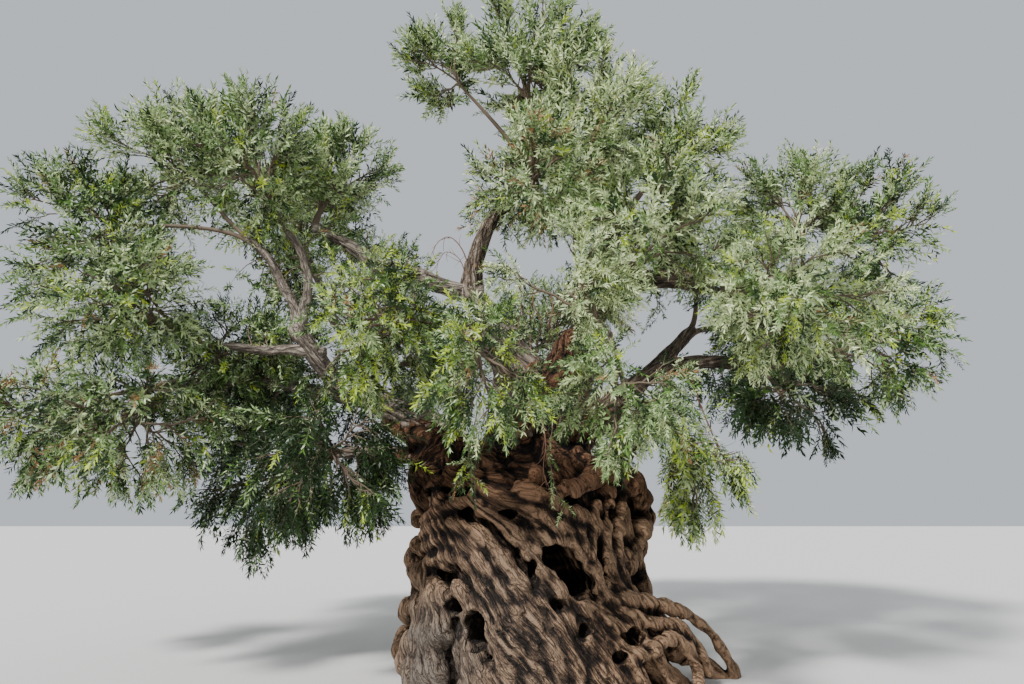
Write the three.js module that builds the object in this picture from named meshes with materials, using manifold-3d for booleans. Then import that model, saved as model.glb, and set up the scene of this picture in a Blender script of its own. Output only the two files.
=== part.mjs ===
// An ancient olive tree: a squat, twisted and partly hollow trunk, limbs, and masses of leafy twigs.
// Millimetres, +Z up. The origin is on the flat cut under the trunk, and the viewer stands at -Y.

import * as THREE from "three";
import { mergeVertices } from "three/addons/utils/BufferGeometryUtils.js";
import Module from "manifold-3d";

const wasm = await Module();
wasm.setup();

// Driving dimensions of the trunk
const COLUMN_CENTRE = [-100, 0];
const COLUMN_RADIUS = 960;
const COLUMN_HEIGHT = 2350;
const STEM_TOP = [300, 0, 3020];
const STEM_RADIUS_FOOT = 520;
const STEM_RADIUS_TOP = 215;
const GROUND_FLARE = 1.24;
const FLARE_HEIGHT = 620;
const SHOULDER_START = 1750;
const COLUMN_SIDES = 18;
const COLUMN_STEPS = 7;
const ROPE_SIDES = 6;
const ROPE_STEPS = 5;
const BELOW_GROUND = 120;

// Driving dimensions of the limbs and the foliage
const LIMB_SIDES = 6;
const LIMB_STEPS = 5;
const CLEARANCE = 0.4;
const TRUNK_DETAILS = [14, 10, 7, 4];
const TWIG_DETAILS = [14, 8, 5, 3, 1];
const ROUNDING = 10000;
const STEM_GAP = 0.3;
const STEM_RADIUS = 32;
// By how many stems share a limb's tip: how far each stands from its middle, and its radius, in tip radii
const STEM_SHARES = {
  1: { offset: 0, thick: 0.8 },
  2: { offset: 0.5, thick: 0.44 },
  3: { offset: 0.55, thick: 0.38 },
};
const BRANCH_RADIUS = 20;
const TWIG_RADIUS = 13;
const BRANCH_COUNT = 4;
const BRANCH_TRIES = 8;
const ENTRIES = [0.5, 0.6, 0.7, 0.8, 0.9, 0.95];
const REACHES = [1, 0.86, 0.72, 0.6];
const SPRAY_SIZES = [1.2, 1, 0.8, 0.6];
const LEAF_LENGTH = 0.86;
const LEAF_SHARE = 0.78;
const LEAF_THICKNESS = 0.035;
const DROOP = 0.1;
const SPACE_MARGIN = 6;
const LIMB_MARGIN = 14;
const LEAST_HEIGHT = 250;

const BARK = { color: 0x6b5a48, roughness: 0.95, metalness: 0 };
const LIMB_BARK = { color: 0x74675a, roughness: 0.92, metalness: 0 };
const LEAVES = { color: 0x7d8b5c, roughness: 0.6, metalness: 0 };

// Half of the rim of a spray: degrees away from its heading, and the distance from its middle in leaf lengths
const FAN = [
  [0, 1],
  [14, 0.42],
  [31, 0.9],
  [48, 0.38],
  [66, 0.7],
  [118, 0.12],
];

const GOLDEN_ANGLE = Math.PI * (3 - Math.sqrt(5));
const degrees = Math.PI / 180;
const mix = (a, b, t) => a + (b - a) * t;
const smooth = (t) => t * t * (3 - 2 * t);
const clamp = (t) => Math.min(1, Math.max(0, t));
const point = (xyz) => new THREE.Vector3(...xyz);

// A small seeded generator, so that every build grows the same tree.
function seededRandom(seed) {
  let state = seed >>> 0;
  return () => {
    state = (state + 0x6d2b79f5) >>> 0;
    let mixed = Math.imul(state ^ (state >>> 15), state | 1);
    mixed ^= mixed + Math.imul(mixed ^ (mixed >>> 7), mixed | 61);
    return ((mixed ^ (mixed >>> 14)) >>> 0) / 4294967296;
  };
}

// Solids

function solidFrom(geometry) {
  const bare = geometry.clone();
  bare.deleteAttribute("normal");
  bare.deleteAttribute("uv");
  const merged = mergeVertices(bare, 1e-3);
  return new wasm.Manifold(
    new wasm.Mesh({
      numProp: 3,
      vertProperties: new Float32Array(merged.attributes.position.array),
      triVerts: new Uint32Array(merged.index.array),
    }),
  );
}

function geometryFrom(solid) {
  const mesh = solid.getMesh();
  const positions = new Float32Array(mesh.numVert * 3);
  for (let i = 0; i < mesh.numVert; i++) {
    const start = i * mesh.numProp;
    positions.set(mesh.vertProperties.subarray(start, start + 3), i * 3);
  }
  return new THREE.BufferGeometry()
    .setAttribute("position", new THREE.BufferAttribute(positions, 3))
    .setIndex(new THREE.BufferAttribute(mesh.triVerts, 1));
}

// The largest connected surface, without loose scraps and without voids sealed inside
function largestPiece(solid) {
  return solid.decompose().sort((a, b) => b.volume() - a.volume())[0];
}

// Whether every edge joins exactly two faces, with corners nearer than the rounding taken as one
function isClosed(geometry) {
  const place = geometry.attributes.position;
  const rounded = (value) => Math.round(value * ROUNDING);
  const corner = (i) => [place.getX(i), place.getY(i), place.getZ(i)].map(rounded).join();
  const corners = Array.from({ length: place.count }, (_, i) => corner(i));
  const uses = new Map();
  const { array } = geometry.index;
  for (let i = 0; i < array.length; i++) {
    const next = i % 3 === 2 ? i - 2 : i + 1;
    const edge = [corners[array[i]], corners[array[next]]].sort().join(" ");
    uses.set(edge, (uses.get(edge) ?? 0) + 1);
  }
  return [...uses.values()].every((count) => count === 2);
}

// The same shape with edges shorter than a tolerance drawn together, rebuilt so that later cuts are exact
function simplified(solid, tolerances) {
  const drawnTogether = (tolerance) => geometryFrom(solid.asOriginal().simplify(tolerance));
  const pieces = tolerances.map((tolerance) => solidFrom(drawnTogether(tolerance)));
  return pieces.map(largestPiece).find((piece) => isClosed(geometryFrom(piece)));
}

function boxAround(solid) {
  const { min, max } = solid.boundingBox();
  const size = max.map((high, i) => high - min[i] + 40);
  return wasm.Manifold.cube(size, true).translate(max.map((high, i) => (high + min[i]) / 2));
}

// What is left of a solid when its neighbours are cut from it, each standing a fraction of a millimetre out
function cutClear(solid, neighbours) {
  const shell = solidFrom(new THREE.OctahedronGeometry(CLEARANCE * Math.sqrt(3), 0));
  const near = neighbours.map((other) => other.intersect(boxAround(solid))).filter((part) => !part.isEmpty());
  const cutters = near.map((part) => part.minkowskiSum(shell));
  return near.length ? largestPiece(solid.subtract(wasm.Manifold.union(cutters))) : solid;
}

// A closed tube along a curve. radiusAt gives its radius at a share of its length and an angle round it.
function tube(curve, radiusAt, sides, steps) {
  const geometry = new THREE.CylinderGeometry(1, 1, 1, sides, steps);
  const frames = curve.computeFrenetFrames(steps, false);
  const place = geometry.attributes.position;
  const spot = new THREE.Vector3();
  for (let i = 0; i < place.count; i++) {
    const share = clamp(place.getY(i) + 0.5);
    const step = Math.round(share * steps);
    const x = place.getX(i);
    const z = place.getZ(i);
    const radius = radiusAt(share, Math.atan2(z, x));
    spot
      .copy(curve.getPoint(share))
      .addScaledVector(frames.normals[step], x * radius)
      .addScaledVector(frames.binormals[step], -z * radius);
    place.setXYZ(i, spot.x, spot.y, spot.z);
  }
  const solid = solidFrom(geometry);
  if (solid.volume() > 0) return solid;
  const index = geometry.index;
  for (let i = 0; i < index.count; i += 3) {
    const first = index.getX(i);
    index.setX(i, index.getX(i + 1));
    index.setX(i + 1, first);
  }
  return solidFrom(geometry);
}

function ellipsoid(centre, radii, turn = 0) {
  const geometry = new THREE.SphereGeometry(1, 8, 6);
  geometry.scale(...radii);
  geometry.rotateZ(turn);
  geometry.translate(...centre);
  return solidFrom(geometry);
}

// The trunk. Angles run from the front, 0, towards the right, 90, and the back, 180.

function onColumn(angle, distance, height) {
  return new THREE.Vector3(
    COLUMN_CENTRE[0] + distance * Math.sin(angle * degrees),
    COLUMN_CENTRE[1] - distance * Math.cos(angle * degrees),
    height,
  );
}

function columnRadius(height) {
  const flare = (GROUND_FLARE - 1) * Math.exp(-Math.max(0, height) / FLARE_HEIGHT);
  const shoulder = clamp((height - SHOULDER_START) / (COLUMN_HEIGHT - SHOULDER_START));
  return COLUMN_RADIUS * (1 + flare) * (1 - 0.6 * smooth(shoulder));
}

function column() {
  const height = COLUMN_HEIGHT + BELOW_GROUND;
  const axis = new THREE.LineCurve3(
    new THREE.Vector3(...COLUMN_CENTRE, -BELOW_GROUND),
    new THREE.Vector3(...COLUMN_CENTRE, COLUMN_HEIGHT),
  );
  const lumps = (share, angle) => 1 + 0.05 * Math.sin(3 * angle + 5 * share) + 0.03 * Math.sin(7 * angle);
  const radiusAt = (share, angle) => columnRadius(share * height - BELOW_GROUND) * lumps(share, angle);
  return tube(axis, radiusAt, COLUMN_SIDES, COLUMN_STEPS);
}

function centralStem() {
  const path = new THREE.CatmullRomCurve3([
    new THREE.Vector3(COLUMN_CENTRE[0], COLUMN_CENTRE[1], SHOULDER_START - 300),
    new THREE.Vector3(90, -120, 2300),
    point(STEM_TOP),
  ]);
  return tube(path, (share) => mix(STEM_RADIUS_FOOT, STEM_RADIUS_TOP, share ** 0.8), 10, 4);
}

// Ropes of live wood that wind down the column and run out as roots. At the left they end close under it.
const FRONT_ROPES = [
  { top: -54, height: 1680, foot: 33, reach: 1400, thick: 200, end: 150 },
  { top: -68, height: 1430, foot: 11, reach: 1420, thick: 190, end: 160 },
  { top: -82, height: 1230, foot: -6, reach: 1390, thick: 160, end: 150 },
  { top: -84, height: 1000, foot: -70, reach: 980, thick: 170, end: 130 },
  { top: -52, height: 930, foot: -37, reach: 1290, thick: 170, end: 205 },
  { top: -45, height: 2050, foot: 44, reach: 1200, thick: 215, end: 160 },
  { top: 2, height: 2250, foot: 60, reach: 1180, thick: 220, end: 180 },
  { top: 38, height: 2050, foot: 72, reach: 1200, thick: 190, end: 140 },
  { top: 70, height: 1980, foot: 100, reach: 1300, thick: 205, end: 140 },
  { top: 40, height: 790, foot: 84, reach: 1900, thick: 150, end: 75 },
  { top: 28, height: 690, foot: 66, reach: 1560, thick: 145, end: 70 },
  { top: 16, height: 600, foot: 46, reach: 1400, thick: 140, end: 90 },
];
const ROPE_BEND = 0.55;
const BACK_ROPES = 8;
const BACK_SEED = 41;
const STEEP_FROM = 215;
const STEEP_REACH = 1030;

function backRopes() {
  const random = seededRandom(BACK_SEED);
  return Array.from({ length: BACK_ROPES }, (_, i) => {
    const top = mix(100, 262, (i + 0.3 * random()) / BACK_ROPES);
    const height = mix(1300, 2200, random());
    const foot = top + mix(25, 70, random());
    const reach = mix(1350, 1800, random());
    return {
      top,
      height,
      foot,
      reach: foot > STEEP_FROM ? STEEP_REACH : reach,
      thick: mix(170, 230, random()),
      end: mix(100, 180, random()),
    };
  });
}

function ropePath(rope) {
  const points = [];
  for (let i = 0; i <= ROPE_STEPS; i++) {
    const t = i / ROPE_STEPS;
    const height = mix(rope.height, -BELOW_GROUND, t ** 0.85);
    const flare = smooth(clamp(1.15 - height / FLARE_HEIGHT));
    const distance = mix(columnRadius(height) * 0.97, rope.reach, flare * t);
    points.push(onColumn(mix(rope.top, rope.foot, t ** ROPE_BEND), distance, height));
  }
  return new THREE.CatmullRomCurve3(points);
}

// A rope is slim where it leaves the column at its top, and tapers to its root's end.
function ropeSolid(rope) {
  const radiusAt = (share) => mix(rope.thick, rope.end, share) * mix(0.62, 1, smooth(clamp(share * 4)));
  return tube(ropePath(rope), radiusAt, ROPE_SIDES, ROPE_STEPS);
}

// Burls, and the broken shoulder where the left limb leaves
const BURLS = [
  { angle: 84, height: 1490, out: 900, radii: [270, 260, 340] },
  { angle: 76, height: 960, out: 930, radii: [230, 230, 250] },
  { angle: 66, height: 700, out: 1010, radii: [210, 200, 190] },
  { angle: -88, height: 1010, out: 980, radii: [230, 280, 250] },
  { angle: -80, height: 1830, out: 900, radii: [330, 330, 420] },
  { angle: -18, height: 130, out: 1270, radii: [230, 200, 210] },
  { angle: 150, height: 1500, out: 860, radii: [320, 300, 380] },
  { angle: 215, height: 900, out: 950, radii: [300, 280, 330] },
];

// Hollows that open to the outside
const HOLLOWS = [
  { angle: 10, height: 1150, out: 1040, radii: [175, 420, 125], turn: 10 },
  { angle: 15, height: 1040, out: 1040, radii: [150, 430, 130], turn: 15 },
  { angle: 19, height: 920, out: 1040, radii: [175, 420, 145], turn: 19 },
  { angle: 0, height: 1080, out: 1080, radii: [50, 240, 130], turn: 0 },
  { angle: -21, height: 560, out: 1250, radii: [105, 400, 165], turn: -20 },
  { angle: 37, height: 400, out: 1380, radii: [120, 260, 110], turn: 35 },
  { angle: -52, height: 1680, out: 1000, radii: [170, 230, 100], turn: -50 },
];

function trunk() {
  const ropes = [...FRONT_ROPES, ...backRopes()].map(ropeSolid);
  const centre = ({ angle, out, height }) => onColumn(angle, out, height).toArray();
  const burls = BURLS.map((burl) => ellipsoid(centre(burl), burl.radii, burl.angle * degrees));
  const hollows = HOLLOWS.map((hollow) => ellipsoid(centre(hollow), hollow.radii, hollow.turn * degrees));
  const body = wasm.Manifold.union([column(), centralStem(), ...ropes, ...burls]);
  const hollowed = body.subtract(wasm.Manifold.union(hollows)).trimByPlane([0, 0, 1], 0);
  return simplified(hollowed, TRUNK_DETAILS);
}

// Limbs. Each leaves its parent at foot, heading towards leave, and arrives at tip heading towards arrive.
const LIMBS = [
  { name: "leader_left", foot: [120, 0, 2640], leave: [-300, 0, 500], tip: [-730, 0, 3800],
    arrive: [-500, 0, 700], radii: [170, 122] },
  { name: "leader_right", foot: [290, 0, 2900], leave: [100, 0, 500], tip: [860, 120, 4560],
    arrive: [200, 100, 700], radii: [178, 92] },
  { name: "bough_left_high", foot: [-700, 0, 3770], leave: [-700, 0, 60], tip: [-2450, 120, 4560],
    arrive: [-600, 60, 300], radii: [92, 56] },
  { name: "bough_top", foot: [-715, 0, 3800], leave: [60, -20, 600], tip: [-110, 0, 5020],
    arrive: [500, 0, 500], radii: [100, 66] },
  { name: "bough_left", foot: [-960, -150, 2120], leave: [-700, -60, 350], tip: [-2480, -300, 3360],
    arrive: [-300, 0, 600], radii: [135, 78] },
  { name: "bough_left_outer", foot: [-2470, -300, 3330], leave: [-150, 0, 500], tip: [-3060, -300, 4290],
    arrive: [-500, 0, 350], radii: [58, 38] },
  { name: "bough_left_inner", foot: [-2455, -300, 3350], leave: [120, 0, 500], tip: [-2640, -260, 4360],
    arrive: [-300, 50, 450], radii: [56, 38] },
  { name: "bough_left_side", foot: [-2300, -290, 3080], leave: [-500, 0, 60], tip: [-3300, -300, 3130],
    arrive: [-500, 0, -40], radii: [54, 38] },
  { name: "bough_left_skirt", foot: [-1500, -200, 2520], leave: [-500, 250, 180], tip: [-3900, -120, 2760],
    arrive: [-800, -100, -60], radii: [78, 42] },
  { name: "bough_left_under", foot: [-1130, -100, 2050], leave: [-500, 150, -20], tip: [-2020, 60, 2080],
    arrive: [-500, 100, 0], radii: [80, 50] },
  { name: "bough_front_left", foot: [-150, -420, 2080], leave: [-60, -400, 500], tip: [-700, -1500, 3080],
    arrive: [-300, -400, 200], radii: [125, 62] },
  { name: "bough_front_right", foot: [240, -300, 2130], leave: [120, -400, 500], tip: [560, -1330, 3020],
    arrive: [60, -500, 100], radii: [115, 60] },
  { name: "bough_right_high", foot: [560, 40, 3500], leave: [300, -60, 450], tip: [1900, -520, 3640],
    arrive: [500, -300, -180], radii: [82, 50] },
  { name: "bough_right_front", foot: [380, 20, 3130], leave: [60, -300, 200], tip: [860, -760, 3720],
    arrive: [120, -220, 260], radii: [78, 46] },
  { name: "bough_right_far", foot: [640, 80, 3900], leave: [400, 100, 250], tip: [2850, 260, 4060],
    arrive: [700, 60, 200], radii: [80, 52] },
  { name: "bough_right_arch", foot: [420, -90, 2300], leave: [500, -60, 500], tip: [2240, -220, 2920],
    arrive: [700, -60, -220], radii: [110, 56] },
  { name: "bough_right_low", foot: [700, -260, 1900], leave: [300, -160, 350], tip: [1120, -560, 2420],
    arrive: [250, -80, 150], radii: [90, 48] },
  { name: "bough_back_left", foot: [-470, 400, 1930], leave: [-500, 400, 400], tip: [-2500, 1750, 3180],
    arrive: [-600, 250, 200], radii: [150, 66] },
  { name: "bough_back_left_high", foot: [-2020, 1480, 2980], leave: [-250, 100, 500],
    tip: [-3000, 1750, 4760], arrive: [-200, 60, 600], radii: [72, 46] },
  { name: "bough_back", foot: [-30, 440, 2060], leave: [30, 500, 400], tip: [-60, 2250, 3250],
    arrive: [-60, 500, 200], radii: [140, 62] },
  { name: "bough_back_right", foot: [270, 310, 2040], leave: [400, 350, 400], tip: [2100, 1750, 3760],
    arrive: [400, 250, 300], radii: [150, 66] },
];

function limbCurve(limb) {
  const foot = point(limb.foot);
  const tip = point(limb.tip);
  return new THREE.CubicBezierCurve3(
    foot,
    foot.clone().add(point(limb.leave)),
    tip.clone().sub(point(limb.arrive)),
    tip,
  );
}

const limbRadius = (limb, share) => mix(limb.radii[0], limb.radii[1], share ** 0.8);

function limbSolid(limb) {
  return tube(limbCurve(limb), (share) => limbRadius(limb, share), LIMB_SIDES, LIMB_STEPS);
}

// Masses of foliage. Each fills an ellipsoid and hangs on one limb, or on the trunk.
const MASSES = [
  { name: "crown_far_left", on: "bough_left_outer", centre: [-4740, -400, 4400], radii: [820, 800, 850] },
  { name: "crown_left_top", on: "bough_left_outer", centre: [-4150, 200, 5350], radii: [1000, 950, 950] },
  { name: "crown_left_inner", on: "bough_left_inner", centre: [-3120, -250, 5150], radii: [850, 850, 950] },
  { name: "crown_left_lobe", on: "bough_left_high", centre: [-2350, 600, 5350], radii: [720, 720, 800] },
  { name: "crown_left_middle", on: "bough_left_side", centre: [-4150, -700, 3550], radii: [1000, 950, 800] },
  { name: "crown_left_heart", on: "bough_left_side", centre: [-3350, 350, 3050], radii: [1000, 950, 760] },
  { name: "crown_left_tip", on: "bough_left_skirt", centre: [-5150, -200, 2400], radii: [760, 760, 760] },
  { name: "crown_left_skirt", on: "bough_left_skirt", centre: [-3750, -900, 2200], radii: [950, 850, 680] },
  { name: "crown_left_low", on: "bough_left_under", centre: [-2900, 150, 1750], radii: [800, 800, 900] },
  { name: "crown_left_bright", on: "bough_front_left", centre: [-1580, -1600, 3050], radii: [860, 780, 780] },
  { name: "crown_left_dark", on: "bough_left_under", centre: [-1950, -900, 2000], radii: [950, 850, 760] },
  { name: "crown_front_left", on: "bough_front_left", centre: [-480, -2150, 2560], radii: [560, 560, 760] },
  { name: "crown_front_top", on: "bough_front_right", centre: [200, -1250, 3500], radii: [800, 740, 620] },
  { name: "crown_front_right", on: "bough_front_right", centre: [640, -1950, 2350], radii: [680, 660, 560] },
  { name: "crown_right_weeping", on: "bough_right_low", centre: [1450, -800, 1850], radii: [560, 560, 740] },
  { name: "crown_top_arm", on: "bough_top", centre: [-1040, 100, 6580], radii: [660, 620, 620] },
  { name: "crown_top", on: "bough_top", centre: [-120, 0, 6600], radii: [1080, 880, 800] },
  { name: "crown_top_right", on: "leader_right", centre: [580, -350, 5600], radii: [850, 860, 880] },
  { name: "crown_top_far", on: "leader_right", centre: [1720, 300, 5650], radii: [640, 700, 850] },
  { name: "crown_upper", on: "bough_top", centre: [30, -750, 4850], radii: [900, 800, 750] },
  { name: "crown_upper_right", on: "bough_right_front", centre: [1050, -1000, 4250], radii: [900, 820, 780] },
  { name: "crown_right_top", on: "bough_right_far", centre: [3100, 500, 5000], radii: [900, 860, 780] },
  { name: "crown_right_far", on: "bough_right_far", centre: [3880, 100, 4550], radii: [680, 740, 900] },
  { name: "crown_right_bright", on: "bough_right_high", centre: [2150, -1600, 3250], radii: [880, 800, 740] },
  { name: "crown_right_edge", on: "bough_right_arch", centre: [3500, -350, 3150], radii: [760, 760, 760] },
  { name: "crown_right_low", on: "bough_right_arch", centre: [2300, -900, 2500], radii: [780, 720, 520] },
  { name: "crown_right_heart", on: "bough_right_far", centre: [2700, 600, 3500], radii: [850, 800, 720] },
  { name: "crown_back_left", on: "bough_back_left", centre: [-3900, 2000, 2950], radii: [1100, 1000, 800] },
  { name: "crown_back_left_top", on: "bough_back_left_high",
    centre: [-3350, 1950, 5550], radii: [1000, 900, 850] },
  { name: "crown_back_heart", on: "bough_back_left", centre: [-1600, 2800, 3500], radii: [1100, 1000, 950] },
  { name: "crown_back", on: "bough_back", centre: [250, 3150, 4000], radii: [1100, 1000, 1000] },
  { name: "crown_back_low", on: "bough_back", centre: [900, 2850, 2500], radii: [900, 850, 680] },
  { name: "crown_back_top", on: "leader_right", centre: [500, 1750, 5850], radii: [1050, 900, 900] },
  { name: "crown_back_right", on: "bough_back_right", centre: [3550, 2250, 3850], radii: [1000, 950, 800] },
  { name: "crown_back_right_top", on: "bough_back_right",
    centre: [2350, 2200, 5000], radii: [950, 850, 780] },
];
const FOLIAGE_SEED = 1900;

// A place belongs to a mass if it lies in that mass's ellipsoid and on its side of every neighbour.
function inSpace(mass, spot) {
  const [rx, ry, rz] = mass.radii.map((radius) => radius - SPACE_MARGIN);
  const [cx, cy, cz] = mass.centre;
  const share = ((spot.x - cx) / rx) ** 2 + ((spot.y - cy) / ry) ** 2 + ((spot.z - cz) / rz) ** 2;
  if (share > 1 || spot.z < LEAST_HEIGHT) return false;
  const own = power(mass, spot);
  return MASSES.every((other) => other === mass || own < power(other, spot) - sideMargin(mass, other));
}

const meanRadius = (mass) => (mass.radii[0] + mass.radii[1] + mass.radii[2]) / 3;
const power = (mass, spot) => spot.distanceToSquared(point(mass.centre)) - meanRadius(mass) ** 2;
const sideMargin = (a, b) => 2 * SPACE_MARGIN * point(a.centre).distanceTo(point(b.centre));

// Straight stretches of the limbs, stems and trunk, which twigs and leaves stay clear of
function stretches(curve, radiusAt, steps) {
  return Array.from({ length: steps }, (_, i) => ({
    from: curve.getPoint(i / steps),
    to: curve.getPoint((i + 1) / steps),
    radius: Math.max(radiusAt(i / steps), radiusAt((i + 1) / steps)),
  }));
}

function gapBetween(a, b, c, d) {
  const samples = 8;
  const line = new THREE.Line3(c, d);
  const near = new THREE.Vector3();
  let least = Infinity;
  for (let i = 0; i <= samples; i++) {
    const spot = a.clone().lerp(b, i / samples);
    line.closestPointToPoint(spot, true, near);
    least = Math.min(least, near.distanceTo(spot));
  }
  return least;
}

const isClear = (from, to, width, obstacles) =>
  obstacles.every((other) => gapBetween(from, to, other.from, other.to) > other.radius + width + LIMB_MARGIN);

// Which way a stem leaves the middle of its limb's tip, so that sister stems share the tip evenly
function stemAside(mass, sisters, tip, heading) {
  const across = new THREE.Vector3(0, 0, 1).cross(heading).normalize();
  const over = new THREE.Vector3().crossVectors(heading, across);
  const angleOf = (other) => {
    const way = point(other.centre).sub(tip);
    return Math.atan2(way.dot(over), way.dot(across));
  };
  const ordered = [...sisters].sort((a, b) => angleOf(a) - angleOf(b));
  const step = (2 * Math.PI) / ordered.length;
  const base = ordered.reduce((sum, other, i) => sum + angleOf(other) - i * step, 0) / ordered.length;
  const angle = base + ordered.indexOf(mass) * step;
  return across.multiplyScalar(Math.cos(angle)).addScaledVector(over, Math.sin(angle));
}

// The stem of a mass: from its limb's tip, beside its sisters, towards the heart of its space.
function stemOf(mass) {
  const limb = LIMBS.find((candidate) => candidate.name === mass.on);
  const sisters = MASSES.filter((other) => other.on === mass.on);
  const tip = point(limb.tip);
  const heading = point(limb.arrive).normalize();
  const aside = stemAside(mass, sisters, tip, heading);
  const { offset, thick } = STEM_SHARES[sisters.length];
  const radius = Math.min(STEM_RADIUS, limb.radii[1] * thick);
  const start = tip.clone().addScaledVector(heading, STEM_GAP).addScaledVector(aside, limb.radii[1] * offset);
  const centre = point(mass.centre);
  const reach = start.distanceTo(centre);
  const heart = start.clone().lerp(centre, 0.9);
  const curve = new THREE.CubicBezierCurve3(
    start,
    start.clone().addScaledVector(heading, reach * 0.2),
    start.clone().lerp(heart, 0.68).add(new THREE.Vector3(0, 0, reach * 0.05)),
    heart,
  );
  return { curve, radius };
}

// The frame a spray lies in: its heading, its breadth and its upper face
function sprayFrame(from, to, up) {
  const heading = to.clone().sub(from).normalize();
  const side = new THREE.Vector3().crossVectors(heading, up).normalize();
  return { heading, side, face: new THREE.Vector3().crossVectors(side, heading) };
}

// The rim of a spray of pointed leaves, from its left side round to its right
function sprayRim(from, to, leaf, frame) {
  const middle = to.clone().addScaledVector(frame.heading, -leaf);
  const leftHalf = FAN.slice(1).reverse().map(([angle, share]) => [-angle, share]);
  const rim = [...leftHalf, ...FAN].map(([angle, share]) =>
    middle
      .clone()
      .addScaledVector(frame.heading, leaf * share * Math.cos(angle * degrees))
      .addScaledVector(frame.side, leaf * share * Math.sin(angle * degrees))
      .addScaledVector(frame.face, -leaf * DROOP * share * share),
  );
  return { middle, rim };
}

// A four-sided twig that opens at its end in a thin spray of pointed leaves
function spraySolid(from, to, leaf, radius, frame) {
  const { middle, rim } = sprayRim(from, to, leaf, frame);
  const half = leaf * LEAF_THICKNESS;
  const root = (way, distance) => from.clone().addScaledVector(way, distance);
  const places = [
    root(frame.face, radius),
    root(frame.side, radius),
    root(frame.face, -radius),
    root(frame.side, -radius),
    middle.clone().addScaledVector(frame.face, half),
    middle.clone().addScaledVector(frame.face, -half),
    ...rim,
  ];
  const [rootTop, rootRight, rootBottom, rootLeft, top, bottom, left] = places.keys();
  const right = left + rim.length - 1;
  const faces = [
    [rootTop, rootBottom, rootRight],
    [rootTop, rootLeft, rootBottom],
    [top, rootRight, right],
    [top, rootTop, rootRight],
    [right, rootBottom, bottom],
    [right, rootRight, rootBottom],
    [bottom, rootLeft, left],
    [bottom, rootBottom, rootLeft],
    [left, rootTop, top],
    [left, rootLeft, rootTop],
  ];
  for (let i = left; i < right; i++) faces.push([top, i + 1, i], [bottom, i, i + 1]);
  const geometry = new THREE.BufferGeometry().setFromPoints(places);
  geometry.setIndex(faces.flat());
  return solidFrom(geometry);
}

function sprayFits(mass, from, to, leaf, radius, frame, obstacles) {
  const { middle, rim } = sprayRim(from, to, leaf, frame);
  return (
    [from, middle, ...rim].every((spot) => inSpace(mass, spot)) &&
    isClear(from, middle, radius, obstacles) &&
    rim.every((spot) => isClear(middle, spot, leaf * LEAF_THICKNESS, obstacles))
  );
}

// Directions spread evenly over a sphere
function spreadDirection(index, count, turn) {
  const height = 1 - (2 * (index + 0.5)) / count;
  const flat = Math.sqrt(1 - height * height);
  const angle = index * GOLDEN_ANGLE + turn;
  return new THREE.Vector3(flat * Math.cos(angle), flat * Math.sin(angle), height);
}

function insideMass(mass, direction, share) {
  const [rx, ry, rz] = mass.radii;
  const offset = new THREE.Vector3(direction.x * rx, direction.y * ry, direction.z * rz);
  return point(mass.centre).addScaledVector(offset, share);
}

// Branches leave the stem and end in a spray, and further sprays leave the branches on either side.
function growMass(mass, stem, seed, obstacles) {
  const random = seededRandom(seed);
  const sprays = [];
  const longest = meanRadius(mass) * LEAF_LENGTH;
  const turn = random() * 2 * Math.PI;

  const addSpray = (from, ends, radius, parent) => {
    for (const to of ends) {
      const sky = new THREE.Vector3(random() - 0.5, -random(), random());
      const frame = sprayFrame(from, to, parent ? parent.frame.side.clone().add(sky) : sky);
      const leaf = Math.min(longest, from.distanceTo(to) * LEAF_SHARE);
      if (!sprayFits(mass, from, to, leaf, radius, frame, obstacles)) continue;
      const solid = spraySolid(from, to, leaf, radius, frame);
      if (sprays.every((other) => other === parent || other.solid.intersect(solid).isEmpty())) {
        const spray = { solid, from, middle: to.clone().addScaledVector(frame.heading, -leaf), frame };
        sprays.push(spray);
        return spray;
      }
    }
    return null;
  };

  const entry = ENTRIES.find((share) => inSpace(mass, stem.curve.getPoint(share)));
  for (let i = 0; i < BRANCH_COUNT; i++) {
    const start = stem.curve.getPoint(mix(entry, 0.98, (i * 0.618 + random() * 0.1) % 1));
    const ends = REACHES.flatMap((share) =>
      Array.from({ length: BRANCH_TRIES }, () => {
        const shift = new THREE.Vector3(random() - 0.5, random() - 0.5, random() - 0.5);
        const direction = spreadDirection(i, BRANCH_COUNT, turn).addScaledVector(shift, 0.6).normalize();
        return insideMass(mass, direction, share);
      }),
    );
    const branch = addSpray(start, ends, BRANCH_RADIUS, null);
    if (!branch) continue;
    const root = branch.from.clone().lerp(branch.middle, mix(0.4, 0.7, random()));
    const { heading, side, face } = branch.frame;
    const tips = SPRAY_SIZES.flatMap((size) =>
      [-1, 1, -1, 1].map((hand) => {
        const turned = heading.clone().addScaledVector(side, hand * mix(0.8, 1.6, random()));
        turned.addScaledVector(face, random() - 0.5).normalize();
        return root.clone().addScaledVector(turned, longest * size);
      }),
    );
    addSpray(root, tips, TWIG_RADIUS, branch);
  }
  const wood = tube(stem.curve, (share) => mix(stem.radius, stem.radius * 0.55, share), 3, 3);
  const solids = sprays.map((spray) => spray.solid);
  return simplified(wasm.Manifold.union([wood, ...solids]), TWIG_DETAILS);
}

// Assembly

function namedMesh(name, solid, finish) {
  const mesh = new THREE.Mesh(geometryFrom(solid), new THREE.MeshStandardMaterial(finish));
  mesh.name = name;
  return mesh;
}

const tree = new THREE.Group();

const trunkSolid = trunk();
tree.add(namedMesh("trunk", trunkSolid, BARK));

const wood = [trunkSolid];
for (const limb of LIMBS) {
  const solid = cutClear(limbSolid(limb), wood);
  wood.push(solid);
  tree.add(namedMesh(limb.name, solid, LIMB_BARK));
}

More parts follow.
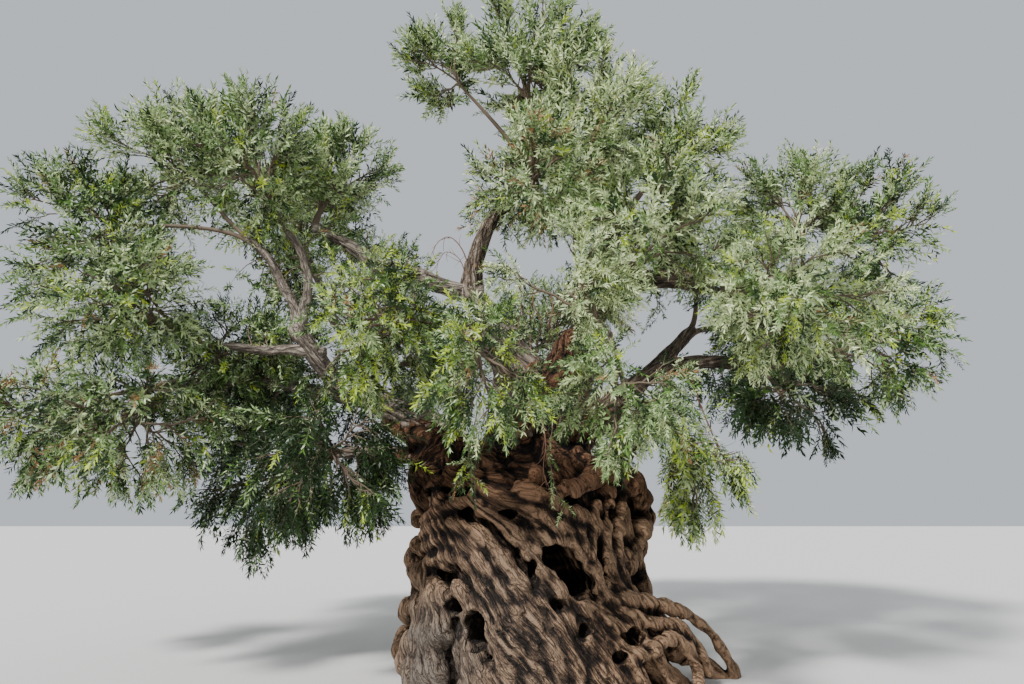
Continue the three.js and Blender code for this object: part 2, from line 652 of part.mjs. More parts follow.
const trunkStretches = [
  { from: point([...COLUMN_CENTRE, 0]), to: point([...COLUMN_CENTRE, 1900]), radius: 1200 },
  { from: point([...COLUMN_CENTRE, 1900]), to: point(STEM_TOP), radius: 560 },
];
const limbStretches = LIMBS.flatMap((limb) =>
  stretches(limbCurve(limb), (share) => limbRadius(limb, share), 6),
);

const stems = MASSES.map(stemOf);
const stemStretches = stems.map((stem) => stretches(stem.curve, () => stem.radius, 5));

MASSES.forEach((mass, i) => {
  const otherStems = stemStretches.filter((_, j) => j !== i).flat();
  const obstacles = [...trunkStretches, ...limbStretches, ...otherStems];
  tree.add(namedMesh(mass.name, growMass(mass, stems[i], FOLIAGE_SEED + i, obstacles), LEAVES));
});

export default tree;
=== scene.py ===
"""An ancient olive tree: a squat trunk of twisted ropes of wood, barked limbs and a crown of leafy shoots.

Metres, +Z up. The origin is on the flat cut under the trunk, and the viewer stands at -Y.
"""

import itertools
import logging
import math
from collections.abc import Callable, Iterable
from dataclasses import dataclass
from enum import Enum, IntEnum
from typing import Self

import bmesh
import bpy
import numpy as np
from mathutils import Matrix, Vector


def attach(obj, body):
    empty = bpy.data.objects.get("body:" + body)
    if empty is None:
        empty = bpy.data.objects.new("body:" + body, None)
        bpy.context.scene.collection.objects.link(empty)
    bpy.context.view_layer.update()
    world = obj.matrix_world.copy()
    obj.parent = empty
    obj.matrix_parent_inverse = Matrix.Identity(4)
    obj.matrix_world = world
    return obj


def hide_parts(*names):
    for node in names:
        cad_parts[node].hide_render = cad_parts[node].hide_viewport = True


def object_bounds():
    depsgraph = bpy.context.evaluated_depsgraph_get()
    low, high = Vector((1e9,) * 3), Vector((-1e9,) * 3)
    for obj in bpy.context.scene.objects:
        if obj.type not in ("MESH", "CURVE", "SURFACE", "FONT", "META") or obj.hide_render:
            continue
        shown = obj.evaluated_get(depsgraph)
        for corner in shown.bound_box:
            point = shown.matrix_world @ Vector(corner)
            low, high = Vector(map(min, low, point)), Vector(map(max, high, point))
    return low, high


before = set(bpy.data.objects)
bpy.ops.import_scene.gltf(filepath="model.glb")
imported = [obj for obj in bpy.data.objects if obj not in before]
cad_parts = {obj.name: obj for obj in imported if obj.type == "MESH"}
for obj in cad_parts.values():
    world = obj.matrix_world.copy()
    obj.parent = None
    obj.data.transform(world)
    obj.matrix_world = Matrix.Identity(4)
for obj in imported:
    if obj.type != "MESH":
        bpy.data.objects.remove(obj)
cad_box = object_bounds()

Array = np.ndarray
Values = float | Array
Generator = np.random.Generator
BMesh = bmesh.types.BMesh
Mesh = bpy.types.Mesh
Object = bpy.types.Object
Material = bpy.types.Material
Place = tuple[float, float, float]
Span = tuple[float, float]
Colour = tuple[float, float, float, float]
Settings = dict | None

FOLIAGE_SEED = 1900
TURN = 2 * math.pi
GOLDEN_ANGLE = math.pi * (3 - math.sqrt(5))
UP = np.array([0.0, 0.0, 1.0])
LOW_16_BITS = 0xFFFF
LOW_32_BITS = 0xFFFFFFFF

log = logging.getLogger("olive_tree")


def mix(a: Values, b: Values, t: Values) -> Values:
    """The value or values a share t of the way from a to b."""
    return a + (b - a) * t


def smooth(t: Values) -> Values:
    """A share from 0 to 1 eased at both ends."""
    return t * t * (3 - 2 * t)


def held(values: Values) -> Values:
    """Values held between 0 and 1."""
    return np.clip(values, 0, 1)


def bell(values: Array, middle: float, width: float) -> Array:
    """1 at the middle, falling off on both sides over a width."""
    return np.exp(-(((values - middle) / width) ** 2))


def unit(ways: Array) -> Array:
    """The same directions, each one long."""
    return ways / np.maximum(np.linalg.norm(ways, axis=-1, keepdims=True), 1e-9)


def bent(start: Array, bend: Array, end: Array, t: Array) -> Array:
    """Places on a curve from start to end that is drawn towards a bend."""
    return start * (1 - t) ** 2 + 2 * bend * t * (1 - t) + end * t**2


def swept(start: Array, near: Array, far: Array, end: Array, t: Array) -> Array:
    """Places on a curve that leaves its start towards near and reaches its end from far."""
    return start * (1 - t) ** 3 + 3 * near * t * (1 - t) ** 2 + 3 * far * t**2 * (1 - t) + end * t**3


class SeededRandom:
    """The small seeded generator that the trunk grows by."""

    STRIDE = 0x6D2B79F5

    def __init__(self, seed: int) -> None:
        """Starts the generator at a seed."""
        self.state = seed & LOW_32_BITS

    def __call__(self) -> float:
        """The next number from 0 to 1."""
        self.state = (self.state + self.STRIDE) & LOW_32_BITS
        mixed = ((self.state ^ (self.state >> 15)) * (self.state | 1)) & LOW_32_BITS
        mixed ^= (mixed + (((mixed ^ (mixed >> 7)) * (mixed | 61)) & LOW_32_BITS)) & LOW_32_BITS
        return ((mixed ^ (mixed >> 14)) & LOW_32_BITS) / 2**32

    def between(self, span: Span) -> float:
        """The next number within a span."""
        return mix(*span, self())


@dataclass(frozen=True)
class Ripple:
    """Smooth seeded noise over space, worked out for many places at once."""

    seed: int

    LATTICE_PRIMES = np.array((73856093, 19349663, 83492791))
    SEED_PRIME = 40503
    MIXING_PRIME = 1274126177

    def corner(self, cell: Array) -> Array:
        """The value, from -1 to 1, at each corner of a lattice of unit cells."""
        mixed = np.bitwise_xor.reduce(cell * self.LATTICE_PRIMES, axis=-1)
        mixed = (mixed ^ self.seed * self.SEED_PRIME) & LOW_32_BITS
        mixed = ((mixed ^ (mixed >> 13)) * self.MIXING_PRIME) & LOW_32_BITS
        return ((mixed ^ (mixed >> 16)) & LOW_16_BITS) / (LOW_16_BITS / 2) - 1

    def __call__(self, places: Array) -> Array:
        """The noise at each place.

        Args:
            places: Places in lattice units, with x, y and z on the last axis.

        Returns:
            One value from -1 to 1 for each place.
        """
        cell = np.floor(places).astype(np.int64)
        part = places - cell
        ease = part**3 * (part * (part * 6 - 15) + 10)
        total = np.zeros(places.shape[:-1])
        for step in itertools.product((0, 1), repeat=3):
            share = np.where(step, ease, 1 - ease).prod(axis=-1)
            total += share * self.corner(cell + np.array(step))
        return total


def ripples(seeds: Iterable[int], places: Array) -> Array:
    """The ripples of several seeds at the same places, side by side on the last axis."""
    return np.stack([Ripple(seed)(places) for seed in seeds], axis=-1)


# Shader building


def operator(operation: str, reflected: bool = False) -> Callable[["Wire", object], "Wire"]:
    """A method that adds a Math node for an operation on this value and another.

    Args:
        operation: The Math node's operation.
        reflected: Whether the other value comes first.

    Returns:
        The method.
    """

    def method(self: "Wire", other: object) -> "Wire":
        """The operation's result."""
        return self.worked(operation, *((other, self) if reflected else (self, other)))

    return method


class Wire:
    """A shader socket that takes part in ordinary arithmetic."""

    __add__ = operator("ADD")
    __radd__ = operator("ADD", reflected=True)
    __sub__ = operator("SUBTRACT")
    __rsub__ = operator("SUBTRACT", reflected=True)
    __mul__ = operator("MULTIPLY")
    __rmul__ = operator("MULTIPLY", reflected=True)

    def __init__(self, shader: "Shader", socket: bpy.types.NodeSocket) -> None:
        """Keeps the socket and the shader that it belongs to."""
        self.shader = shader
        self.socket = socket

    def worked(self, operation: str, *values: object) -> "Wire":
        """A new Math node's result on these values."""
        return self.shader.wire("ShaderNodeMath", 0, {"operation": operation}, dict(enumerate(values)))

    def clamped(self) -> "Wire":
        """This value held between 0 and 1."""
        return self.worked("MINIMUM", self.worked("MAXIMUM", self, 0.0), 1.0)


class Shader:
    """The node tree of one material."""

    def __init__(self, name: str) -> None:
        """Makes a material that holds a Principled shader alone."""
        self.material = bpy.data.materials.new(name)
        self.material.use_nodes = True
        self.tree = self.material.node_tree
        self.surface = self.tree.nodes["Principled BSDF"]

    def wire(self, kind: str, output: int | str, settings: Settings = None, inputs: Settings = None) -> Wire:
        """Adds a node.

        Args:
            kind: The node's type.
            output: The name or number of the output that is wanted.
            settings: The node's properties, set first. A ramp's stops are places with colours.
            inputs: Values or wires for its sockets, by name or number.

        Returns:
            The output.
        """
        node = self.tree.nodes.new(kind)
        for name, value in (settings or {}).items():
            if name == "stops":
                self.set_stops(node.color_ramp, value)
            else:
                setattr(node, name, value)
        for name, value in (inputs or {}).items():
            self.feed(node.inputs[name], value)
        return Wire(self, node.outputs[output])

    def set_stops(self, ramp: bpy.types.ColorRamp, stops: Iterable[tuple[float, Colour]]) -> None:
        """Gives a colour ramp its stops."""
        stops = list(stops)
        while len(ramp.elements) < len(stops):
            ramp.elements.new(1.0)
        for element, (place, colour) in zip(ramp.elements, stops):
            element.position = place
            element.color = colour

    def feed(self, socket: bpy.types.NodeSocket, value: object) -> None:
        """Links a wire to a socket, or sets its value."""
        if isinstance(value, Wire):
            self.tree.links.new(value.socket, socket)
        else:
            socket.default_value = value

    def attribute(self, name: str, output: str = "Fac") -> Wire:
        """One of the piece's own attributes."""
        return self.wire("ShaderNodeAttribute", output, {"attribute_name": name})

    def place(self) -> Wire:
        """The place on the piece, in metres."""
        return self.wire("ShaderNodeTexCoord", "Object")

    def noise(self, place: Wire, scale: float, detail: float, roughness: float = 0.55) -> Wire:
        """Noise from 0 to 1 over a place."""
        inputs = {"Vector": place, "Scale": scale, "Detail": detail, "Roughness": roughness}
        return self.wire("ShaderNodeTexNoise", "Fac", None, inputs)

    def rift(self, place: Wire, scale: float, detail: float) -> Wire:
        """The distance from the winding lines where noise crosses its middle value, 0 on a line."""
        aside = self.noise(place, scale, detail) - 0.5
        return aside.worked("ABSOLUTE", aside)

    def ramp(self, share: Wire, stops: Iterable[tuple[float, Colour]]) -> Wire:
        """A colour for each value of a share."""
        return self.wire("ShaderNodeValToRGB", "Color", {"stops": stops}, {"Fac": share})

    def blended(self, share: object, first: object, second: object, how: str = "MIX") -> Wire:
        """Two colours mixed by a share."""
        settings = {"data_type": "RGBA", "blend_type": how, "clamp_factor": True}
        return self.wire("ShaderNodeMix", 2, settings, {0: share, 6: first, 7: second})

    def bump(self, height: Wire, strength: float, depth: float) -> Wire:
        """A normal tilted by a height pattern."""
        inputs = {"Height": height, "Strength": strength, "Distance": depth}
        return self.wire("ShaderNodeBump", "Normal", None, inputs)

    def dress(self, **sockets: object) -> Material:
        """Feeds the surface shader's sockets, with spaces written as underscores."""
        for name, value in sockets.items():
            self.feed(self.surface.inputs[name.replace("_", " ")], value)
        return self.material


def rgb(red: float, green: float, blue: float) -> Colour:
    """An opaque colour."""
    return (red, green, blue, 1.0)


# Finishes


@dataclass(frozen=True)
class BarkPattern:
    """A pattern of the bark: its scale and detail, and how much it darkens and lifts the wood; streaks darken
    as the bark's own tone, cracks as painted shade with some dirt.
    """

    scale: float
    detail: float
    stain_and_shade: float
    lift: float = 0.0
    roughness: float = 0.55
    sharpness: float = 1.0


@dataclass(frozen=True)
class BarkFinish:
    """Old bark: light ridges, crevices and cracks darkened as painted shade with some dirt, and fine fibres
    along the grain.
    """

    name: str
    ridge: Colour
    middle: Colour
    shade: Colour
    # The darkest colour of the ramp, for hollows and cracks: painted shade with some dirt.
    crevice: Colour
    pale: Colour
    # Multiplies the wood where the dark share is high: partly a darker tone, partly painted shade of the
    # crown.
    dark: Colour
    fibre_scale: float
    stops: tuple[float, ...] = (0.1, 0.4, 0.66, 0.9)
    folds: BarkPattern = BarkPattern(scale=0.6, detail=2.0, stain_and_shade=0.22, lift=0.8, sharpness=26.0)
    sinews: BarkPattern = BarkPattern(scale=1.5, detail=3.0, stain_and_shade=0.18, lift=0.5, sharpness=16.0)
    fibres: BarkPattern = BarkPattern(scale=3.4, detail=4.0, stain_and_shade=0.6, lift=0.5, roughness=0.65)
    speckle: BarkPattern = BarkPattern(scale=70.0, detail=2.0, stain_and_shade=0.5, lift=0.25)
    patches: BarkPattern = BarkPattern(scale=3.4, detail=3.0, stain_and_shade=0.15)
    # How strongly the relief share paints shade, with some dirt, into the hollows.
    hollow_shade_weight: float = 1.15
    hollow_shade_shift: float = 0.06
    least_wear: float = 1.2
    wear_patches: Span = (0.55, 0.8)
    dullness: Span = (0.78, 0.2)
    shine: float = 0.22
    bump_depth: float = 0.042

    def cracks(self, shader: Shader, grain: Wire, pattern: BarkPattern) -> Wire:
        """Cracks that wind along the grain: 0 in a crack and 1 beside it."""
        rift = shader.rift(grain, self.fibre_scale * pattern.scale, pattern.detail)
        return (rift * pattern.sharpness).clamped()

    def made(self) -> Material:
        """The material, which reads the piece's grain, its relief share (painted shade with some dirt in the
        hollows), its pale share and its dark share (a darker tone, partly painted shade of the crown).
        """
        shader = Shader(self.name)
        grain, place = shader.attribute("grain", "Vector"), shader.place()
        folds = self.cracks(shader, grain, self.folds)
        sinews = self.cracks(shader, grain, self.sinews)
        fibre_scale = self.fibre_scale * self.fibres.scale
        fibres = shader.noise(grain, fibre_scale, self.fibres.detail, self.fibres.roughness)
        patches = shader.noise(place, self.patches.scale, self.patches.detail)
        speckle = shader.noise(place, self.speckle.scale, self.speckle.detail)
        streaks = (fibres - 0.5) * self.fibres.stain_and_shade + (speckle - 0.5) * self.speckle.stain_and_shade
        streaks = streaks + (patches - 0.5) * self.patches.stain_and_shade
        # The cracks of the folds and sinews are darkened as painted shade, with some dirt.
        crack_shade = (1.0 - folds) * self.folds.stain_and_shade + (1.0 - sinews) * self.sinews.stain_and_shade
        # The relief share paints shade, with some dirt, into the hollows of the bark.
        relief = shader.attribute("relief") * self.hollow_shade_weight - self.hollow_shade_shift
        share = (relief + streaks + crack_shade).clamped()
        wood = shader.ramp(share, zip(self.stops, (self.ridge, self.middle, self.shade, self.crevice)))
        bare, patchy = self.wear_patches
        worn = shader.attribute("pale") * (self.least_wear - share) * (bare + patches * patchy)
        greyed = shader.blended(worn.clamped(), wood, self.pale)
        lift = folds * self.folds.lift + sinews * self.sinews.lift
        lift = lift + fibres * self.fibres.lift + speckle * self.speckle.lift
        dull, duller = self.dullness
        return shader.dress(
            # The dark share darkens the wood: partly its own darker tone, partly painted shade of the crown.
            Base_Color=shader.blended(shader.attribute("dark"), greyed, self.dark, "MULTIPLY"),
            Roughness=(dull + patches * duller).clamped(),
            Normal=shader.bump(lift, 1.0, self.bump_depth),
            Specular_IOR_Level=self.shine,
        )


@dataclass(frozen=True)
class PlainFinish:
    """One colour for small things such as leaves and twigs, dealt out piece by piece."""

    name: str
    colour: Colour
    roughness: float
    shine: float = 0.35

    def made(self) -> Material:
        """The material."""
        surface = {"Base_Color": self.colour, "Roughness": self.roughness, "Specular_IOR_Level": self.shine}
        return Shader(self.name).dress(**surface)


FINISHES: dict[str, Material] = {}


def finish_of(finish: BarkFinish | PlainFinish) -> Material:
    """The finish's material, made the first time that it is asked for."""
    if finish.name not in FINISHES:
        FINISHES[finish.name] = finish.made()
    return FINISHES[finish.name]


TRUNK_BARK = BarkFinish(
    name="trunk_bark",
    ridge=rgb(0.33, 0.205, 0.122),
    middle=rgb(0.13, 0.075, 0.042),
    shade=rgb(0.040, 0.022, 0.013),
    crevice=rgb(0.007, 0.004, 0.003),
    pale=rgb(0.175, 0.142, 0.113),
    dark=rgb(0.56, 0.45, 0.39),
    fibre_scale=22.0,
)
LIMB_BARK = BarkFinish(
    name="limb_bark",
    ridge=rgb(0.34, 0.265, 0.20),
    middle=rgb(0.165, 0.115, 0.078),
    shade=rgb(0.064, 0.041, 0.028),
    crevice=rgb(0.014, 0.010, 0.007),
    pale=rgb(0.36, 0.32, 0.27),
    dark=rgb(0.55, 0.42, 0.34),
    fibre_scale=16.0,
)
TWIG_BARK = PlainFinish("twig_bark", rgb(0.155, 0.115, 0.082), 0.85, 0.2)
SHOOT_BARK = PlainFinish("shoot_bark", rgb(0.20, 0.20, 0.115), 0.75, 0.25)
DEAD_WOOD = PlainFinish("dead_wood", rgb(0.23, 0.125, 0.085), 0.9, 0.15)
FLOOR = PlainFinish("pale_floor", rgb(0.62, 0.61, 0.59), 0.9, 0.2)


class LeafKind(Enum):
    """The colours of leaves, each a name with its finish."""

    # Pale silvery leaves made brighter than real leaves as painted sunlight, dealt chiefly to the sunlit
    # masses.
    PALE = PlainFinish("leaves_pale", rgb(0.68, 0.77, 0.41), 0.55)
    SILVER = PlainFinish("leaves_silver", rgb(0.45, 0.56, 0.245), 0.5)
    GREY = PlainFinish("leaves_grey", rgb(0.235, 0.35, 0.125), 0.48)
    OLIVE = PlainFinish("leaves_olive", rgb(0.105, 0.20, 0.038), 0.42)
    # Dark green leaves made darker still as painted shade, for the shaded masses and the leaves drawn in
    # shade.
    DEEP = PlainFinish("leaves_deep", rgb(0.017, 0.042, 0.009), 0.4)
    FRESH = PlainFinish("leaves_fresh", rgb(0.44, 0.56, 0.05), 0.42)
    DRY = PlainFinish("leaves_dry", rgb(0.30, 0.165, 0.065), 0.6)
    UNDERSIDE = PlainFinish("leaves_underside", rgb(0.50, 0.59, 0.34), 0.7)


class Tone(Enum):
    """How the sprays of a mass share the leaf kinds, in the order of LeafKind without the undersides. The
    brightest, sunlit and shaded tones paint sunlight and shade into the masses that they are given to.
    """

    # Painted full sunlight: mostly the palest leaves, for the masses that the sun lights most.
    BLEACHED = (0.56, 0.25, 0.05, 0.05, 0.04, 0.04, 0.01)
    SUNLIT = (0.27, 0.30, 0.13, 0.11, 0.08, 0.10, 0.01)
    SILVERY = (0.17, 0.31, 0.23, 0.15, 0.08, 0.05, 0.01)
    GREYISH = (0.05, 0.22, 0.28, 0.24, 0.14, 0.06, 0.01)
    MIXED = (0.02, 0.09, 0.19, 0.30, 0.29, 0.09, 0.02)
    SHADED = (0.0, 0.01, 0.03, 0.12, 0.80, 0.03, 0.01)
    BRIGHT = (0.05, 0.09, 0.12, 0.25, 0.24, 0.24, 0.01)
    WEEPING = (0.12, 0.16, 0.14, 0.14, 0.06, 0.37, 0.01)
    BROWNED = (0.22, 0.24, 0.18, 0.11, 0.07, 0.06, 0.12)
    VEILED = (0.03, 0.13, 0.22, 0.28, 0.21, 0.05, 0.08)


class Sector(Enum):
    """The parts of the crown that leaves and twigs are joined by."""

    LEFT = "left"
    RIGHT = "right"
    BACK = "back"


# Mesh helpers


def read_vertices(mesh: Mesh, what: str = "co") -> Array:
    """Where each vertex is, or with "normal" which way it faces."""
    flat = np.empty(len(mesh.vertices) * 3)
    mesh.vertices.foreach_get(what, flat)
    return flat.reshape(-1, 3)


def push_out(mesh: Mesh, places: Array, heights: Array) -> None:
    """Moves each vertex from its place by a height, the way that it faces."""
    mesh.vertices.foreach_set("co", (places + read_vertices(mesh, "normal") * heights[:, None]).ravel())
    mesh.update()


def linked(name: str, data: bpy.types.ID) -> Object:
    """A new object in the scene."""
    made = bpy.data.objects.new(name, data)
    bpy.context.scene.collection.objects.link(made)
    return made


def smooth_line(marks: Array, steps: int) -> Array:
    """A smooth line through places.

    Args:
        marks: The places, one in each row.
        steps: How many stretches there are from one place to the next.

    Returns:
        The line's own places.
    """
    marks = np.vstack([2 * marks[0] - marks[1], marks, 2 * marks[-1] - marks[-2]])
    stretches = []
    for a, b, c, d in zip(marks, marks[1:], marks[2:], marks[3:]):
        t = np.arange(steps)[:, None] / steps
        curve = (c - a) * t + (2 * a - 5 * b + 4 * c - d) * t**2 + (3 * b - 3 * c + d - a) * t**3
        stretches.append(b + 0.5 * curve)
    return np.vstack([*stretches, marks[-2]])


def ring_frames(line: Array) -> list[Matrix]:
    """One frame for each place of a line, turned as little as possible from one to the next.

    Args:
        line: The places.

    Returns:
        Frames with their z axes along the line.
    """
    places = [Vector(place) for place in line]
    ways = [(b - a).normalized() for a, b in itertools.pairwise(places)]
    between = [(a + b).normalized() for a, b in itertools.pairwise(ways)]
    turn = ways[0].to_track_quat("Z", "Y")
    frames = []
    for place, way in zip(places, [ways[0], *between, ways[-1]]):
        turn = (turn @ Vector((0, 0, 1))).rotation_difference(way) @ turn
        frames.append(Matrix.Translation(place) @ turn.to_matrix().to_4x4())
    return frames


def tube(line: Array, radii: Array, sides: int) -> BMesh:
    """A closed round tube.

    Args:
        line: The places that it follows.
        radii: Its radius at each place.
        sides: How many sides its section has.

    Returns:
        A new bmesh.
    """
    made = bmesh.new()
    frames = [ring @ Matrix.Scale(radius, 4) for ring, radius in zip(ring_frames(line), radii)]
    bmesh.ops.create_circle(made, cap_ends=True, segments=sides, radius=1, matrix=frames[0])
    rim = made.edges[:]
    for last, ring in itertools.pairwise(frames):
        grown = bmesh.ops.extrude_edge_only(made, edges=rim)["geom"]
        corners = [part for part in grown if isinstance(part, bmesh.types.BMVert)]
        edges = [part for part in grown if isinstance(part, bmesh.types.BMEdge)]
        rim = [edge for edge in edges if len(edge.link_faces) == 1]
        bmesh.ops.transform(made, matrix=ring @ last.inverted(), verts=corners)
    bmesh.ops.contextual_create(made, geom=rim)
    bmesh.ops.recalc_face_normals(made, faces=made.faces)
    return made


def lump(centre: Array, radii: Array, turn: float) -> BMesh:
    """A closed ellipsoid, turned about its own upright axis."""
    made = bmesh.new()
    place = Matrix.Translation(Vector(centre)) @ Matrix.Rotation(turn, 4, "Z") @ Matrix.Diagonal((*radii, 1))
    bmesh.ops.create_icosphere(made, subdivisions=2, radius=1, matrix=place)
    return made


def joined(parts: list[BMesh], name: str) -> Mesh:
    """All the parts in one mesh.

    Args:
        parts: The parts, which are freed.
        name: The mesh's name.

    Returns:
        The new mesh.
    """
    whole = bmesh.new()
    carrier = bpy.data.meshes.new("carrier")
    for part in parts:
        part.to_mesh(carrier)
        part.free()
        whole.from_mesh(carrier)
    bpy.data.meshes.remove(carrier)
    mesh = bpy.data.meshes.new(name)
    whole.to_mesh(mesh)
    whole.free()
    return mesh


def reworked(mesh: Mesh, steps: list[tuple[str, dict[str, object]]]) -> Mesh:
    """The mesh after modifiers.

    Args:
        mesh: The mesh, which is removed.
        steps: Each modifier's type and settings, in order.

    Returns:
        A new mesh.
    """
    helper = linked("helper", mesh)
    for kind, settings in steps:
        modifier = helper.modifiers.new(kind.lower(), kind)
        for name, value in settings.items():
            setattr(modifier, name, value)
    done = bpy.data.meshes.new_from_object(helper.evaluated_get(bpy.context.evaluated_depsgraph_get()))
    bpy.data.objects.remove(helper)
    bpy.data.meshes.remove(mesh)
    return done


def hollowness(mesh: Mesh, rounds: int, depth: float) -> Array:
    """How deep each vertex lies in a crevice.

    Args:
        mesh: The mesh.
        rounds: How often it is eased to find its general form.
        depth: The depth below that form that counts as a whole crevice.

    Returns:
        0 on a ridge, 0.5 on a flat and 1 in a crevice, for each vertex.
    """
    ends = np.empty(len(mesh.edges) * 2, dtype=np.int64)
    mesh.edges.foreach_get("vertices", ends)
    first, second = ends.reshape(-1, 2).T
    count = len(mesh.vertices)
    shares = np.maximum(np.bincount(ends, minlength=count), 1)
    places = read_vertices(mesh)
    eased = places.copy()
    for _, axis in itertools.product(range(rounds), range(3)):
        values = eased[:, axis].copy()
        near = np.bincount(first, values[second], count) + np.bincount(second, values[first], count)
        eased[:, axis] = mix(values, near / shares, 0.8)
    inward = ((eased - places) * read_vertices(mesh, "normal")).sum(axis=1)
    return held(0.5 + inward / (2 * depth))


def write_attributes(mesh: Mesh, grain: Array, shares: dict[str, Array]) -> None:
    """Stores the grain and the named shares that the bark's finish reads."""
    along = mesh.attributes.new("grain", "FLOAT_VECTOR", "POINT")
    along.data.foreach_set("vector", grain.astype(np.float32).ravel())
    for name, values in shares.items():
        share = mesh.attributes.new(name, "FLOAT", "POINT")
        share.data.foreach_set("value", values.astype(np.float32))


def mesh_from(name: str, places: Array, faces: list[Array]) -> Mesh:
    """A mesh of many small things.

    Args:
        name: The mesh's name.
        places: The vertices.
        faces: Arrays of faces, each with the same number of corners throughout.

    Returns:
        The new mesh.
    """
    mesh = bpy.data.meshes.new(name)
    corners = np.concatenate([face.ravel() for face in faces]).astype(np.int32)
    sizes = np.concatenate([np.full(len(face), face.shape[1]) for face in faces])
    mesh.vertices.add(len(places))
    mesh.vertices.foreach_set("co", places.astype(np.float32).ravel())
    mesh.loops.add(len(corners))
    mesh.loops.foreach_set("vertex_index", corners)
    mesh.polygons.add(len(sizes))
    starts = np.concatenate([[0], np.cumsum(sizes)[:-1]]).astype(np.int32)
    mesh.polygons.foreach_set("loop_start", starts)
    mesh.update(calc_edges=True)
    return mesh


def fit_piece(
    mesh: Mesh, name: str, finish: BarkFinish | PlainFinish, nodes: list[str], soft: bool = True
) -> None:
    """Makes a finished piece of the tree.

    Args:
        mesh: Its mesh, already in place.
        name: The piece's name.
        finish: What it is finished with.
        nodes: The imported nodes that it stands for.
        soft: Whether its faces are shaded smoothly.
    """
    mesh.name = name
    mesh.materials.clear()
    mesh.materials.append(finish_of(finish))
    mesh.polygons.foreach_set("use_smooth", np.full(len(mesh.polygons), soft))
    mesh.update()
    piece = linked(name, mesh)
    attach(piece, "root")
    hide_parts(*nodes)
    log.info("%s: %d triangles", name, sum(len(face.vertices) - 2 for face in mesh.polygons))


# Trunk. Angles run from the front, 0, towards the right, 90, and the back, 180.


@dataclass(frozen=True)
class Rope:
    """A rope of live wood that winds down the column and runs out as a root."""

    top: float
    height: float
    foot: float
    reach: float
    thick: float
    end: float


@dataclass(frozen=True)
class Sinew:
    """A slimmer strand through places, each an angle, a height and a distance from the column's axis."""

    radii: Span
    places: tuple[Place, ...]


@dataclass(frozen=True)
class Swelling:
    """A burl that stands out of the column, or a hollow cut into it, which faces its own angle or another."""

    angle: float
    height: float
    out: float
    radii: Place
    facing: float | None = None


